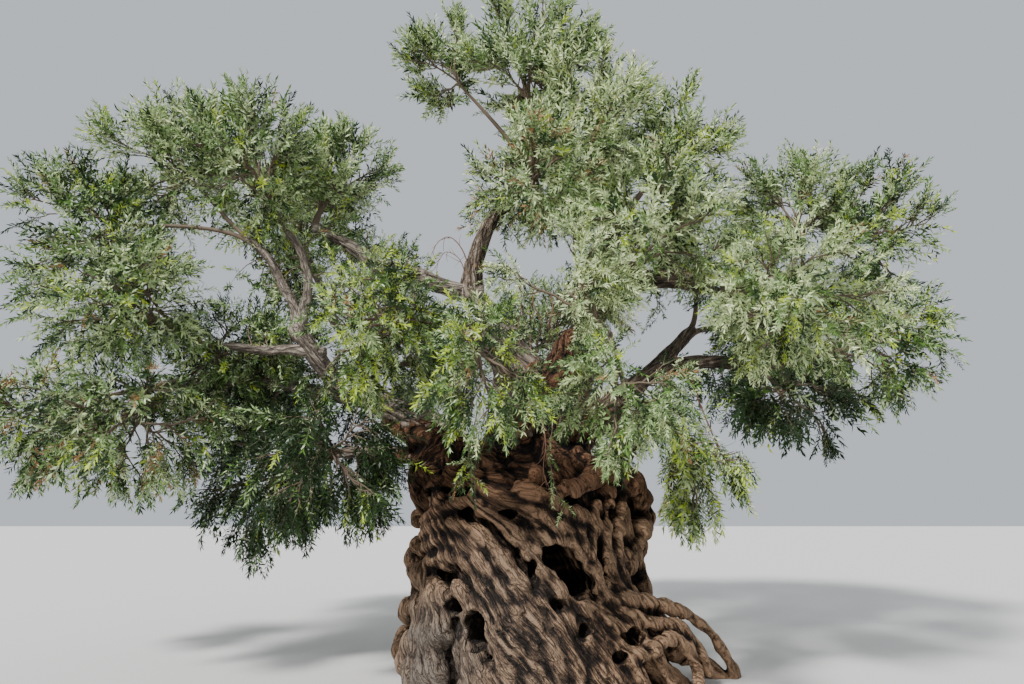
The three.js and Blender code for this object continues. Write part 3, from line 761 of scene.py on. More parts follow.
FRONT_ROPES = (
    Rope(-54, 1.68, 33, 1.4, 0.2, 0.15),
    Rope(-68, 1.43, 11, 1.42, 0.19, 0.16),
    Rope(-82, 1.23, -6, 1.39, 0.16, 0.15),
    Rope(-84, 1.0, -70, 0.98, 0.17, 0.13),
    Rope(-52, 0.93, -37, 1.29, 0.17, 0.205),
    Rope(-45, 2.05, 44, 1.2, 0.215, 0.16),
    Rope(2, 2.25, 60, 1.18, 0.22, 0.18),
    Rope(38, 2.05, 72, 1.2, 0.19, 0.14),
    Rope(70, 1.98, 100, 1.3, 0.205, 0.14),
    Rope(40, 0.79, 84, 1.9, 0.15, 0.075),
    Rope(28, 0.69, 66, 1.56, 0.145, 0.07),
    Rope(16, 0.6, 46, 1.4, 0.14, 0.09),
)
FRONT_SINEWS = [Sinew(*row) for row in (
    ((0.07, 0.09), (
        (-56, 1.4, 1.14), (-37, 1.57, 1.16), (-25, 1.61, 1.17), (-14, 1.46, 1.18), (-4, 1.28, 1.19),
        (1, 1.16, 1.2), (5, 1.04, 1.2), (11, 0.88, 1.2), (20, 0.74, 1.2), (26, 0.53, 1.24), (30, 0.1, 1.34),
    )),
    ((0.075, 0.095), (
        (-58, 1.29, 1.14), (-42, 1.4, 1.16), (-30, 1.39, 1.17), (-19, 1.26, 1.18), (-11, 1.1, 1.19),
        (-5, 0.92, 1.21), (0, 0.71, 1.23), (6, 0.47, 1.27), (10, 0.1, 1.36),
    )),
    ((0.07, 0.09), (
        (-60, 1.15, 1.14), (-43, 1.26, 1.16), (-31, 1.23, 1.17), (-21, 1.1, 1.19), (-13, 0.91, 1.2),
        (-7, 0.73, 1.22), (-1, 0.48, 1.27), (4, 0.1, 1.36),
    )),
    ((0.07, 0.085), (
        (-58, 0.98, 1.15), (-45, 1.09, 1.17), (-34, 1.13, 1.18), (-25, 1.05, 1.19), (-18, 0.87, 1.21),
        (-12, 0.7, 1.24), (-6, 0.46, 1.28), (-3, 0.1, 1.36),
    )),
    ((0.11, 0.17), (
        (-64, 0.98, 1.12), (-46, 0.88, 1.19), (-39, 0.64, 1.25), (-39, 0.36, 1.31), (-37, -0.05, 1.38),
    )),
    ((0.09, 0.13), ((-66, 0.8, 1.12), (-56, 0.6, 1.17), (-52, 0.35, 1.22), (-50, -0.05, 1.27))),
    ((0.07, 0.085), (
        (-33, 0.93, 1.2), (-26, 0.81, 1.23), (-18, 0.68, 1.26), (-11, 0.46, 1.3), (-6, 0.1, 1.38),
    )),
    ((0.06, 0.08), ((-3, 0.88, 1.2), (5, 0.74, 1.22), (11, 0.52, 1.26), (17, 0.1, 1.35))),
    ((0.06, 0.065), (
        (-24, 1.54, 1.14), (-12, 1.45, 1.16), (0, 1.33, 1.17), (9, 1.28, 1.18), (18, 1.25, 1.18),
        (25, 1.1, 1.17), (29, 0.92, 1.18), (31, 0.79, 1.2), (36, 0.68, 1.22),
    )),
    ((0.085, 0.07), (
        (-36, 1.74, 1.1), (-14, 1.62, 1.15), (2, 1.48, 1.17), (12, 1.39, 1.18), (22, 1.33, 1.17),
    )),
    ((0.09, 0.07), (
        (-8, 1.7, 1.1), (4, 1.64, 1.16), (14, 1.53, 1.17), (24, 1.45, 1.16), (32, 1.35, 1.15),
    )),
    ((0.085, 0.1), (
        (10, 1.64, 1.1), (20, 1.73, 1.15), (31, 1.83, 1.13), (42, 1.87, 1.1), (52, 1.8, 1.1),
    )),
    ((0.12, 0.11), (
        (48, 1.84, 1.08), (60, 1.71, 1.12), (70, 1.56, 1.12), (70, 1.4, 1.12), (60, 1.31, 1.13),
    )),
    ((0.05, 0.06), (
        (30, 1.62, 1.14), (27, 1.44, 1.17), (26, 1.28, 1.18), (25, 1.11, 1.18), (32, 0.8, 1.2),
    )),
    ((0.05, 0.06), (
        (37, 1.62, 1.14), (34, 1.42, 1.17), (33, 1.2, 1.18), (36, 0.95, 1.19), (41, 0.78, 1.2),
    )),
    ((0.05, 0.06), (
        (46, 1.58, 1.12), (41, 1.36, 1.16), (39, 1.16, 1.17), (42, 0.96, 1.18), (50, 0.76, 1.18),
    )),
    ((0.04, 0.05), (
        (22, 1.5, 1.16), (20, 1.36, 1.19), (22, 1.22, 1.2), (20, 1.1, 1.19), (27, 0.86, 1.18),
    )),
    ((0.07, 0.08), ((54, 1.2, 1.1), (60, 1.0, 1.14), (64, 0.72, 1.16), (72, 0.3, 1.22))),
    ((0.1, 0.08), ((-70, 1.9, 1.02), (-56, 1.76, 1.08), (-46, 1.62, 1.12), (-40, 1.5, 1.14))),
)]
SNAKING_ROOTS = [Sinew(*row) for row in (
    ((0.07, 0.05), (
        (28, 0.79, 1.16), (38, 0.79, 1.25), (48, 0.75, 1.36), (57, 0.67, 1.48), (66, 0.55, 1.61),
        (73, 0.37, 1.74), (78, 0.14, 1.86), (81, -0.08, 1.93),
    )),
    ((0.065, 0.05), (
        (26, 0.7, 1.18), (36, 0.66, 1.28), (45, 0.6, 1.4), (53, 0.56, 1.52), (60, 0.4, 1.62), (66, 0.1, 1.7),
    )),
    ((0.065, 0.05), (
        (26, 0.6, 1.22), (30, 0.46, 1.3), (35, 0.38, 1.38), (41, 0.37, 1.46), (45, 0.46, 1.52),
        (51, 0.45, 1.57), (57, 0.3, 1.62), (60, 0.02, 1.66),
    )),
    ((0.06, 0.055), (
        (18, 0.77, 1.2), (26, 0.7, 1.25), (34, 0.58, 1.33), (44, 0.4, 1.42), (52, 0.06, 1.5),
    )),
    ((0.06, 0.06), (
        (32, 0.76, 1.19), (31, 0.58, 1.27), (29, 0.42, 1.31), (36, 0.26, 1.4), (43, -0.04, 1.46),
    )),
    ((0.065, 0.05), (
        (40, 0.74, 1.2), (52, 0.62, 1.32), (64, 0.44, 1.45), (74, 0.28, 1.55), (84, 0.02, 1.66),
    )),
    ((0.06, 0.07), ((20, 0.5, 1.25), (26, 0.34, 1.32), (33, 0.16, 1.38), (37, -0.06, 1.43))),
)]
BURLS = [Swelling(*row) for row in (
    (84, 1.49, 0.9, (0.27, 0.26, 0.34)),
    (76, 0.96, 0.93, (0.23, 0.23, 0.25)),
    (66, 0.7, 1.01, (0.21, 0.2, 0.19)),
    (-88, 1.01, 0.98, (0.23, 0.28, 0.25)),
    (-80, 1.83, 0.9, (0.33, 0.33, 0.42)),
    (-18, 0.13, 1.27, (0.23, 0.2, 0.21)),
    (-39, 1.07, 1.15, (0.14, 0.11, 0.1)),
    (50, 1.06, 1.08, (0.16, 0.16, 0.15)),
    (4, 1.62, 1.1, (0.2, 0.12, 0.09)),
    (24, 1.02, 1.16, (0.09, 0.09, 0.14)),
    (-64, 1.62, 1.05, (0.16, 0.14, 0.13)),
    (14, 0.6, 1.22, (0.11, 0.09, 0.16)),
    (-14, 1.0, 1.17, (0.1, 0.07, 0.15)),
    (150, 1.5, 0.86, (0.32, 0.3, 0.38)),
    (215, 0.9, 0.95, (0.3, 0.28, 0.33)),
)]
HOLLOWS = [Swelling(*row) for row in (
    (10, 1.15, 1.04, (0.175, 0.42, 0.125)),
    (15, 1.04, 1.04, (0.15, 0.43, 0.13)),
    (19, 0.92, 1.04, (0.175, 0.42, 0.145)),
    (0, 1.08, 1.08, (0.045, 0.24, 0.13)),
    (-21.5, 0.56, 1.25, (0.13, 0.42, 0.18), -20),
    (-32, 0.74, 1.22, (0.075, 0.3, 0.09)),
    (37, 0.5, 1.38, (0.11, 0.24, 0.085), 35),
    (31, 0.36, 1.38, (0.07, 0.2, 0.05)),
    (-52, 1.68, 1.0, (0.17, 0.23, 0.1), -50),
    (-32, 1.69, 1.16, (0.15, 0.14, 0.055), -30),
    (-10, 1.5, 1.2, (0.09, 0.12, 0.04)),
    (16, 1.61, 1.18, (0.09, 0.16, 0.05)),
    (36, 1.48, 1.2, (0.05, 0.12, 0.09)),
    (30, 1.0, 1.24, (0.035, 0.12, 0.13)),
    (-76, 1.9, 1.05, (0.07, 0.4, 0.06), -66),
)]


@dataclass(frozen=True)
class Scatter:
    """The spans of angle, height, reach and thickness that seeded ropes or knobs are drawn from."""

    angles: Span
    heights: Span
    reach: Span
    thick: Span


@dataclass(frozen=True)
class Trunk:
    """The squat hollow column of twisted ropes, with its stem, burls, hollows and roots."""

    column_centre: Span = (-0.1, 0.0)
    column_radius_foot: float = 0.96
    column_height: float = 2.35
    column_share: float = 0.99
    column_sides: int = 36
    narrowing: float = 0.6
    ground_flare: float = 1.24
    flare_height: float = 0.62
    shoulder_start: float = 1.75
    below_ground: float = 0.12
    stem_sunk: float = 0.3
    stem_bend: Place = (0.09, -0.18, 2.42)
    stem_top: Place = (0.3, 0.0, 3.02)
    stem_radii: Span = (0.52, 0.215)
    stem_core: float = 0.94
    stem_sides: int = 20
    stem_ridges: int = 7
    ridge_place: float = 0.78
    ridge_share: float = 0.27
    ridge_step: float = 0.03
    stem_twist: float = 0.9
    stem_sway: float = 0.25
    rope_bend: float = 0.55
    rope_drop: float = 0.85
    rope_waver: float = 2.2
    rope_waves: float = 1.6
    rope_start: float = 0.62
    rope_core: float = 0.8
    rope_sides: int = 14
    strands: int = 6
    strand_sides: int = 8
    strand_wind: Span = (1.4, 3.2)
    strand_share: Span = (0.24, 0.42)
    strand_sway: float = 0.5
    strand_swell: float = 0.1
    strand_reach: float = 1.05
    sinew_lift: float = 0.025
    sinew_swell: float = 0.13
    sinew_sides: int = 10
    back_ropes: int = 8
    back: Scatter = Scatter(angles=(100, 262), heights=(1.3, 2.2), reach=(1.35, 1.8), thick=(0.17, 0.23))
    back_twist: Span = (25, 70)
    back_ends: Span = (0.1, 0.18)
    back_seed: int = 41
    steep_from: float = 215
    steep_reach: float = 1.03
    knobs: int = 90
    knob: Scatter = Scatter(angles=(-100, 260), heights=(0.1, 1.9), reach=(1.06, 1.16), thick=(0.05, 0.12))
    knob_widths: Span = (0.8, 1.3)
    knob_rises: Span = (0.8, 1.5)
    coarse: float = 0.017
    fine: float = 0.0135
    most_triangles: int = 222000

    def on_column(self, angle: Values, distance: Values, height: Values) -> Array:
        """Places at these angles and heights, this far from the column's axis."""
        turn = np.radians(angle)
        x = self.column_centre[0] + distance * np.sin(turn)
        y = self.column_centre[1] - distance * np.cos(turn)
        return np.stack(np.broadcast_arrays(x, y, height), axis=-1)

    def column_radius(self, height: Values) -> Values:
        """The column's radius at these heights."""
        flare = (self.ground_flare - 1) * np.exp(-np.maximum(height, 0) / self.flare_height)
        shoulder = held((height - self.shoulder_start) / (self.column_height - self.shoulder_start))
        return self.column_radius_foot * (1 + flare) * (1 - self.narrowing * smooth(shoulder))

    def column(self) -> BMesh:
        """The body that the ropes wind round."""
        heights = np.linspace(-self.below_ground, self.column_height, 18)
        radii = self.column_radius(heights) * self.column_share
        return tube(self.on_column(0, 0, heights), radii, self.column_sides)

    def stem(self) -> list[BMesh]:
        """The central stem and the ridges that run up it."""
        shares = np.linspace(0, 1, 14)
        foot = np.array([*self.column_centre, self.shoulder_start - self.stem_sunk])
        line = bent(foot, np.array(self.stem_bend), np.array(self.stem_top), shares[:, None])
        radii = mix(*self.stem_radii, shares**0.8)
        parts = [tube(line, radii * self.stem_core, self.stem_sides)]
        for i in range(self.stem_ridges):
            sway = self.stem_sway * np.sin(7 * shares + 2 * i)
            turn = TURN * i / self.stem_ridges + self.stem_twist * shares + sway
            aside = np.stack([np.cos(turn), np.sin(turn), 0 * turn], axis=-1)
            thick = radii * (self.ridge_share + self.ridge_step * (i % 3))
            parts.append(tube(line + aside * radii[:, None] * self.ridge_place, thick, self.strand_sides))
        return parts

    def all_ropes(self) -> list[Rope]:
        """The ropes of the front, and those of the back by the seeded rule."""
        random = SeededRandom(self.back_seed)
        ropes = list(FRONT_ROPES)
        for i in range(self.back_ropes):
            top = mix(*self.back.angles, (i + 0.3 * random()) / self.back_ropes)
            height = random.between(self.back.heights)
            foot = top + random.between(self.back_twist)
            reach = random.between(self.back.reach)
            reach = self.steep_reach if foot > self.steep_from else reach
            thick = random.between(self.back.thick)
            ropes.append(Rope(top, height, foot, reach, thick, random.between(self.back_ends)))
        return ropes

    def bundle(self, rope: Rope, random: SeededRandom) -> list[BMesh]:
        """A rope's core and the strands that wind round it.

        Args:
            rope: The rope.
            random: The generator that sets how the strands wind.

        Returns:
            One tube for the core and one for each strand.
        """
        t = np.linspace(0, 1, 26)
        height = mix(rope.height, -self.below_ground, t**self.rope_drop)
        flare = smooth(held(1.15 - height / self.flare_height))
        distance = mix(self.column_radius(height) * 0.97, rope.reach, flare * t)
        waver = self.rope_waver * np.sin(TURN * (self.rope_waves * t + random())) * t
        line = self.on_column(mix(rope.top, rope.foot, t**self.rope_bend) + waver, distance, height)
        thick = mix(rope.thick, rope.end, t) * mix(self.rope_start, 1, smooth(held(t * 4)))
        outward = unit((line - np.array([*self.column_centre, 0])) * (1, 1, 0))
        aside = unit(np.cross(np.gradient(line, axis=0), outward))
        parts = [tube(line, thick * self.rope_core, self.rope_sides)]
        start = random() * TURN
        wind = random.between(self.strand_wind)
        for i in range(self.strands):
            sway = self.strand_sway * np.sin(11 * t + 6 * random())
            turn = start + TURN * i / self.strands + wind * t + sway
            share = random.between(self.strand_share)
            radius = thick * share * (1 + self.strand_swell * np.sin(19 * t + 6 * random()))
            way = np.cos(turn)[:, None] * outward + np.sin(turn)[:, None] * aside
            centre = line + way * (thick * self.strand_reach - radius)[:, None]
            parts.append(tube(centre, radius, self.strand_sides))
        return parts

    def sinew(self, sinew: Sinew) -> BMesh:
        """A slimmer strand as a lumpy tube on a smooth line through its places."""
        angle, height, out = smooth_line(np.array(sinew.places), 6).T
        along = np.linspace(0, 1, len(angle))
        lumps = 1 + self.sinew_swell * np.sin(along * 5 * len(sinew.places) + angle[0])
        line = self.on_column(angle, out + self.sinew_lift, height)
        return tube(line, mix(*sinew.radii, along) * lumps, self.sinew_sides)

    def swelling(self, swelling: Swelling) -> BMesh:
        """A burl, or the shape that a hollow is cut by."""
        facing = swelling.angle if swelling.facing is None else swelling.facing
        centre = self.on_column(swelling.angle, swelling.out, swelling.height)
        return lump(centre, swelling.radii, math.radians(facing))

    def knobbles(self) -> list[BMesh]:
        """Small seeded knobs scattered over the column."""
        random = SeededRandom(self.back_seed + 1)
        parts = []
        for _ in range(self.knobs):
            angle = random.between(self.knob.angles)
            height = random.between(self.knob.heights)
            out = self.column_radius(height) * random.between(self.knob.reach)
            size = random.between(self.knob.thick)
            radii = (size * random.between(self.knob_widths), size, size * random.between(self.knob_rises))
            parts.append(self.swelling(Swelling(angle, height, out, radii)))
        return parts

    def bearing(self, places: Array) -> Array:
        """The angle round the column's axis at which each place lies, in degrees."""
        across, away = places[:, 0] - self.column_centre[0], places[:, 1] - self.column_centre[1]
        return np.degrees(np.arctan2(across, -away))

    def wavy_grain(self, places: Array) -> Array:
        """The grain: places with the trunk's twist undone, drawn short along the fibres and a little wavy.

        Args:
            places: Places on the trunk.

        Returns:
            The place in the grain of each, so that a pattern on it follows the fibres.
        """
        distance = np.hypot(*(places[:, :2] - np.array(self.column_centre)).T)
        angle = self.bearing(places)
        climb = 1 - held((1.9 - places[:, 2]) / 2.02) ** 0.65
        foot = angle
        for _ in range(4):
            foot = angle + (40 + 50 * bell(foot, 20, 45)) * climb
        turn = np.radians(foot)
        core = self.column_radius_foot
        radial = np.minimum(distance, core) + 0.3 * np.maximum(distance - core, 0)
        straight = np.stack([radial * np.sin(turn), radial * np.cos(turn), places[:, 2] * 0.2], axis=-1)
        warp = ripples((3, 5, 7), places * 2.3) * (0.05, 0.05, 0.02)
        return straight + warp + ripples((29, 31, 37), places * 9.0) * (0.010, 0.010, 0.004)

    def relief(self, places: Array) -> Array:
        """How far the wood stands out: sinews, finer bark, creases, pits and a gentle bulge.

        Args:
            places: Places on the trunk.

        Returns:
            The heights.
        """
        grain = self.wavy_grain(places)
        sinews = np.abs(Ripple(13)(grain * (16.0, 16.0, 8.0)))
        bark = np.abs(Ripple(17)(grain * (36.0, 36.0, 20.0)))
        creases = np.abs(Ripple(41)(places * 11.0))
        pits = np.maximum(Ripple(19)(places * 14.0) - 0.42, 0)
        bulge = Ripple(43)(places * 4.0)
        fine = 0.013 * (bark - 0.28) + 0.004 * (creases - 0.28)
        return 0.030 * (sinews - 0.3) + fine - 0.022 * pits + 0.012 * bulge

    def built(self, collars: list[BMesh]) -> Mesh:
        """The trunk's mesh.

        Args:
            collars: Swollen feet of the limbs that leave the trunk.

        Returns:
            One closed mesh with a flat cut at the ground, and its bark attributes.
        """
        random = SeededRandom(self.back_seed + 2)
        parts = [self.column(), *self.stem(), *collars, *self.knobbles()]
        parts += [part for rope in self.all_ropes() for part in self.bundle(rope, random)]
        parts += [self.sinew(sinew) for sinew in FRONT_SINEWS + SNAKING_ROOTS]
        parts += [self.swelling(burl) for burl in BURLS]
        coarse = ("REMESH", {"mode": "VOXEL", "voxel_size": self.coarse})
        fine = ("REMESH", {"mode": "VOXEL", "voxel_size": self.fine})
        hollows = reworked(joined([self.swelling(hollow) for hollow in HOLLOWS], "hollows"), [coarse])
        cutter = linked("cutter", hollows)
        cut = ("BOOLEAN", {"operation": "DIFFERENCE", "solver": "MANIFOLD", "object": cutter})
        eased, touched_up = (("SMOOTH", {"factor": 0.5, "iterations": rounds}) for rounds in (3, 1))
        body = reworked(joined(parts, "trunk_body"), [coarse, eased, cut, fine, touched_up])
        bpy.data.objects.remove(cutter)
        places = read_vertices(body)
        push_out(body, places, self.relief(places))
        ratio = min(1.0, self.most_triangles / (2 * len(body.polygons)))
        log.info("trunk surface: %d faces, thinned to a share of %.2f", len(body.polygons), ratio)
        body = reworked(body, [("DECIMATE", {"ratio": ratio})])
        self.cut_flat(body)
        self.colour(body)
        return body

    def colour(self, mesh: Mesh) -> None:
        """Stores what the bark's finish reads: the left foot is pale, the crevices and the valleys between
        ropes take painted shade with some dirt, and the wood darkens upwards, partly its own darker tone and
        partly painted shade of the crown.

        Args:
            mesh: The trunk's mesh.
        """
        places = read_vertices(mesh)
        angle, height = self.bearing(places), places[:, 2]
        left = bell(angle, -40, 30) * held((1.05 - height) / 0.55)
        flow = bell(angle, -12, 34) * held((1.75 - height) / 0.9)
        # Darker upwards: partly the stem's darker wood, partly painted shade of the crown.
        dark = held((height - 1.3) / 0.5)
        # Painted shade with some dirt: in the fine crevices, and in the broad valleys between the ropes.
        relief = held(0.66 * hollowness(mesh, 6, 0.010) + 0.48 * hollowness(mesh, 60, 0.05) - 0.06)
        shares = {"relief": relief, "pale": np.maximum(left, 0.4 * flow), "dark": dark}
        write_attributes(mesh, self.wavy_grain(places), shares)

    def cut_flat(self, mesh: Mesh) -> None:
        """Cuts a mesh flat at the ground and closes the cut.

        Args:
            mesh: The mesh.
        """
        work = bmesh.new()
        work.from_mesh(mesh)
        whole = [*work.verts, *work.edges, *work.faces]
        bmesh.ops.bisect_plane(work, geom=whole, plane_co=(0, 0, 0), plane_no=(0, 0, -1), clear_outer=True)
        rim = [edge for edge in work.edges if len(edge.link_faces) == 1]
        bmesh.ops.triangle_fill(work, use_beauty=True, edges=rim)
        bmesh.ops.triangulate(work, faces=work.faces)
        work.to_mesh(mesh)
        work.free()


# Limbs


@dataclass(frozen=True)
class Limb:
    """A tapering limb, which sets off from its foot along leave and comes to its tip along arrive."""

    name: str
    foot: Place
    leave: Place
    tip: Place
    arrive: Place
    radii: Span

    @property
    def setting_off(self) -> Array:
        """Its direction where it leaves its parent."""
        return unit(np.array(self.leave, dtype=float))

    @property
    def heading(self) -> Array:
        """Its direction at its tip."""
        return unit(np.array(self.arrive, dtype=float))

    def line(self, shares: Array) -> Array:
        """Places along the limb."""
        foot, tip = np.array(self.foot), np.array(self.tip)
        return swept(foot, foot + self.leave, tip - self.arrive, tip, shares[..., None])

    def radius(self, shares: Array) -> Array:
        """The limb's radius at these shares of its length."""
        return mix(*self.radii, shares**0.8)


LIMBS = [Limb(*row) for row in (
    ("leader_left", (0.12, 0, 2.64), (-0.3, 0, 0.5), (-0.73, 0, 3.8), (-0.5, 0, 0.7), (0.17, 0.122)),
    ("leader_right", (0.29, 0, 2.9), (0.1, 0, 0.5), (0.86, 0.12, 4.56), (0.2, 0.1, 0.7), (0.178, 0.092)),
    ("bough_left_high", (-0.7, 0, 3.77), (-0.7, 0, 0.06),
     (-2.45, 0.12, 4.56), (-0.6, 0.06, 0.3), (0.092, 0.056)),
    ("bough_top", (-0.715, 0, 3.8), (0.06, -0.02, 0.6), (-0.11, 0, 5.02), (0.5, 0, 0.5), (0.1, 0.066)),
    ("bough_left", (-0.96, -0.15, 2.12), (-0.7, -0.06, 0.35),
     (-2.48, -0.3, 3.36), (-0.3, 0, 0.6), (0.135, 0.078)),
    ("bough_left_outer", (-2.47, -0.3, 3.33), (-0.15, 0, 0.5),
     (-3.06, -0.3, 4.29), (-0.5, 0, 0.35), (0.058, 0.038)),
    ("bough_left_inner", (-2.455, -0.3, 3.35), (0.12, 0, 0.5),
     (-2.64, -0.26, 4.36), (-0.3, 0.05, 0.45), (0.056, 0.038)),
    ("bough_left_side", (-2.3, -0.29, 3.08), (-0.5, 0, 0.06),
     (-3.3, -0.3, 3.13), (-0.5, 0, -0.04), (0.054, 0.038)),
    ("bough_left_skirt", (-1.5, -0.2, 2.52), (-0.5, 0.25, 0.18),
     (-3.9, -0.12, 2.76), (-0.8, -0.1, -0.06), (0.078, 0.042)),
    ("bough_left_under", (-1.13, -0.1, 2.05), (-0.5, 0.15, -0.02),
     (-2.02, 0.06, 2.08), (-0.5, 0.1, 0), (0.08, 0.05)),
    ("bough_front_left", (-0.15, -0.42, 2.08), (-0.06, -0.4, 0.5),
     (-0.7, -1.5, 3.08), (-0.3, -0.4, 0.2), (0.125, 0.062)),
    ("bough_front_right", (0.24, -0.3, 2.13), (0.12, -0.4, 0.5),
     (0.56, -1.33, 3.02), (0.06, -0.5, 0.1), (0.115, 0.06)),
    ("bough_right_high", (0.56, 0.04, 3.5), (0.3, -0.06, 0.45),
     (1.9, -0.52, 3.64), (0.5, -0.3, -0.18), (0.082, 0.05)),
    ("bough_right_front", (0.38, 0.02, 3.13), (0.06, -0.3, 0.2),
     (0.86, -0.76, 3.72), (0.12, -0.22, 0.26), (0.078, 0.046)),
    ("bough_right_far", (0.64, 0.08, 3.9), (0.4, 0.1, 0.25),
     (2.85, 0.26, 4.06), (0.7, 0.06, 0.2), (0.08, 0.052)),
    ("bough_right_arch", (0.42, -0.09, 2.3), (0.5, -0.06, 0.5),
     (2.24, -0.22, 2.92), (0.7, -0.06, -0.22), (0.11, 0.056)),
    ("bough_right_low", (0.7, -0.26, 1.9), (0.3, -0.16, 0.35),
     (1.12, -0.56, 2.42), (0.25, -0.08, 0.15), (0.09, 0.048)),
    ("bough_back_left", (-0.47, 0.4, 1.93), (-0.5, 0.4, 0.4),
     (-2.5, 1.75, 3.18), (-0.6, 0.25, 0.2), (0.15, 0.066)),
    ("bough_back_left_high", (-2.02, 1.48, 2.98), (-0.25, 0.1, 0.5),
     (-3.0, 1.75, 4.76), (-0.2, 0.06, 0.6), (0.072, 0.046)),
    ("bough_back", (-0.03, 0.44, 2.06), (0.03, 0.5, 0.4),
     (-0.06, 2.25, 3.25), (-0.06, 0.5, 0.2), (0.14, 0.062)),
    ("bough_back_right", (0.27, 0.31, 2.04), (0.4, 0.35, 0.4),
     (2.1, 1.75, 3.76), (0.4, 0.25, 0.3), (0.15, 0.066)),
)]
LIMB_NAMED = {limb.name: limb for limb in LIMBS}
LIMBS_OFF_TRUNK = (
    "leader_left leader_right bough_left bough_left_under bough_front_left bough_front_right "
    "bough_right_arch bough_right_low bough_back_left bough_back bough_back_right"
).split()


@dataclass(frozen=True)
class BarkedLimb:
    """A limb with the relief of its bark, swollen where it leaves its parent."""

    limb: Limb
    step: float = 0.021
    chord: float = 0.0135
    fewest_sides: int = 16
    most_sides: int = 64
    flare: float = 0.3
    flare_length: float = 0.16
    sunk: float = 0.12
    sway: float = 0.05
    tip_places: Span = (0.5, 0.8)
    tip_radii: Span = (0.82, 0.5)
    collar_length: float = 0.3
    collar_swell: Span = (1.5, 0.84)
    collar_sunk: float = 0.18
    twist: float = 1.3
    warp: float = 0.02
    ridge_height: float = 0.22
    lump_height: float = 0.10
    knot_height: float = 0.5
    bark_height: float = 0.007
    left_pale: float = 0.55
    other_pale: float = 0.2

    @property
    def seed(self) -> int:
        """A seed that the limb's name gives."""
        return sum(map(ord, self.limb.name))

    def collar(self) -> BMesh:
        """The swollen foot that the trunk's own wood grows up in."""
        shares = np.linspace(0, self.collar_length, 8)
        line = self.limb.line(shares)
        start = line[0] - self.limb.setting_off * self.collar_sunk
        radii = self.limb.radius(shares) * np.linspace(*self.collar_swell, len(shares))
        return tube(np.vstack([start, line]), np.concatenate([[radii[0] * 1.1], radii]), 14)

    def centre_line(self) -> tuple[Array, Array]:
        """The line and radii of the limb, from inside its parent to just past its tip."""
        rough = self.limb.line(np.linspace(0, 1, 60))
        length = np.linalg.norm(np.diff(rough, axis=0), axis=1).sum()
        shares = np.linspace(0, 1, max(12, round(length / self.step)))
        marks = np.stack([shares * length * 1.7, 0 * shares + self.seed, 0 * shares], axis=-1)
        sway = ripples(range(self.seed, self.seed + 3), marks)
        line = self.limb.line(shares)
        line = line + sway * (self.sway * np.sin(math.pi * shares) * min(length, 1.6))[:, None]
        radii = self.limb.radius(shares) * (1 + self.flare * np.exp(-shares * length / self.flare_length))
        start = line[0] - self.limb.setting_off * self.sunk
        end = line[-1] + self.limb.heading * radii[-1] * np.array(self.tip_places)[:, None]
        radii = np.concatenate([radii[:1], radii, radii[-1] * np.array(self.tip_radii)])
        return np.vstack([start, line, end]), radii

    def built(self) -> Mesh:
        """The limb's mesh, with its bark attributes."""
        line, radii = self.centre_line()
        sides = round(TURN * self.limb.radii[0] / self.chord)
        sides = min(max(sides, self.fewest_sides), self.most_sides)
        mesh = joined([tube(line, radii, sides)], self.limb.name)
        places = read_vertices(mesh)
        nearest = np.array([((line - place) ** 2).sum(axis=1).argmin() for place in places])
        run = np.concatenate([[0], np.cumsum(np.linalg.norm(np.diff(line, axis=0), axis=1))])[nearest]
        grain = self.grain(line, nearest, places, run)
        push_out(mesh, places, self.relief(places, grain, radii[nearest]))
        share = run / run.max()
        pale = np.full(len(places), self.left_pale if "left" in self.limb.name else self.other_pale)
        # Darker towards the foot of each limb that leaves the trunk, as on the trunk's top: partly a darker
        # tone, partly painted shade of the crown.
        dark = held(1 - share * 2.2) if self.limb.name in LIMBS_OFF_TRUNK else 0 * share
        # The relief share paints shade, with some dirt, into the crevices of the limb's bark.
        write_attributes(mesh, grain, {"relief": hollowness(mesh, 8, 0.011), "pale": pale, "dark": dark})
        return mesh

    def grain(self, line: Array, nearest: Array, places: Array, run: Array) -> Array:
        """The place in the grain of each vertex, which winds round the limb.

        Args:
            line: The limb's centre line.
            nearest: The number of the line's place that is nearest to each vertex.
            places: The vertices.
            run: How far along the limb each vertex lies.

        Returns:
            The places in the grain, drawn short along the fibres.
        """
        frames = np.array([np.array(ring.inverted()) for ring in ring_frames(line)])
        local = np.einsum("nij,nj->ni", frames[nearest][:, :3, :3], places - line[nearest])
        twist = np.arctan2(local[:, 1], local[:, 0]) + run * self.twist
        reach = self.limb.radii[0]
        return np.stack([reach * np.cos(twist), reach * np.sin(twist), run * 0.22], axis=-1)

    def relief(self, places: Array, grain: Array, size: Array) -> Array:
        """How far the bark stands out: ridges and fine bark along the grain, lumps and knots.

        Args:
            places: The vertices.
            grain: The place in the grain of each.
            size: The limb's radius at each.

        Returns:
            The heights.
        """
        warp = ripples(range(self.seed + 1, self.seed + 4), places * 6) * self.warp
        ridges = np.abs(Ripple(self.seed)((grain + warp) * 15)) - 0.3
        bark = np.abs(Ripple(self.seed + 5)((grain + warp) * 42)) - 0.3
        lumps = Ripple(self.seed + 7)(places * 5.5)
        knots = np.maximum(Ripple(self.seed + 9)(places * 9) - 0.45, 0)
        coarse = self.ridge_height * ridges + self.lump_height * lumps + self.knot_height * knots
        return size * coarse + self.bark_height * bark


# Foliage


@dataclass(frozen=True)
class Mass:
    """A mass of foliage that fills an ellipsoid and hangs on one limb."""

    name: str
    on: str
    centre: Place
    radii: Place
    tone: Tone

    @property
    def sector(self) -> Sector:
        """The part of the crown that it belongs to."""
        if self.name.startswith("crown_back"):
            return Sector.BACK
        return Sector.LEFT if self.centre[0] < -0.3 else Sector.RIGHT


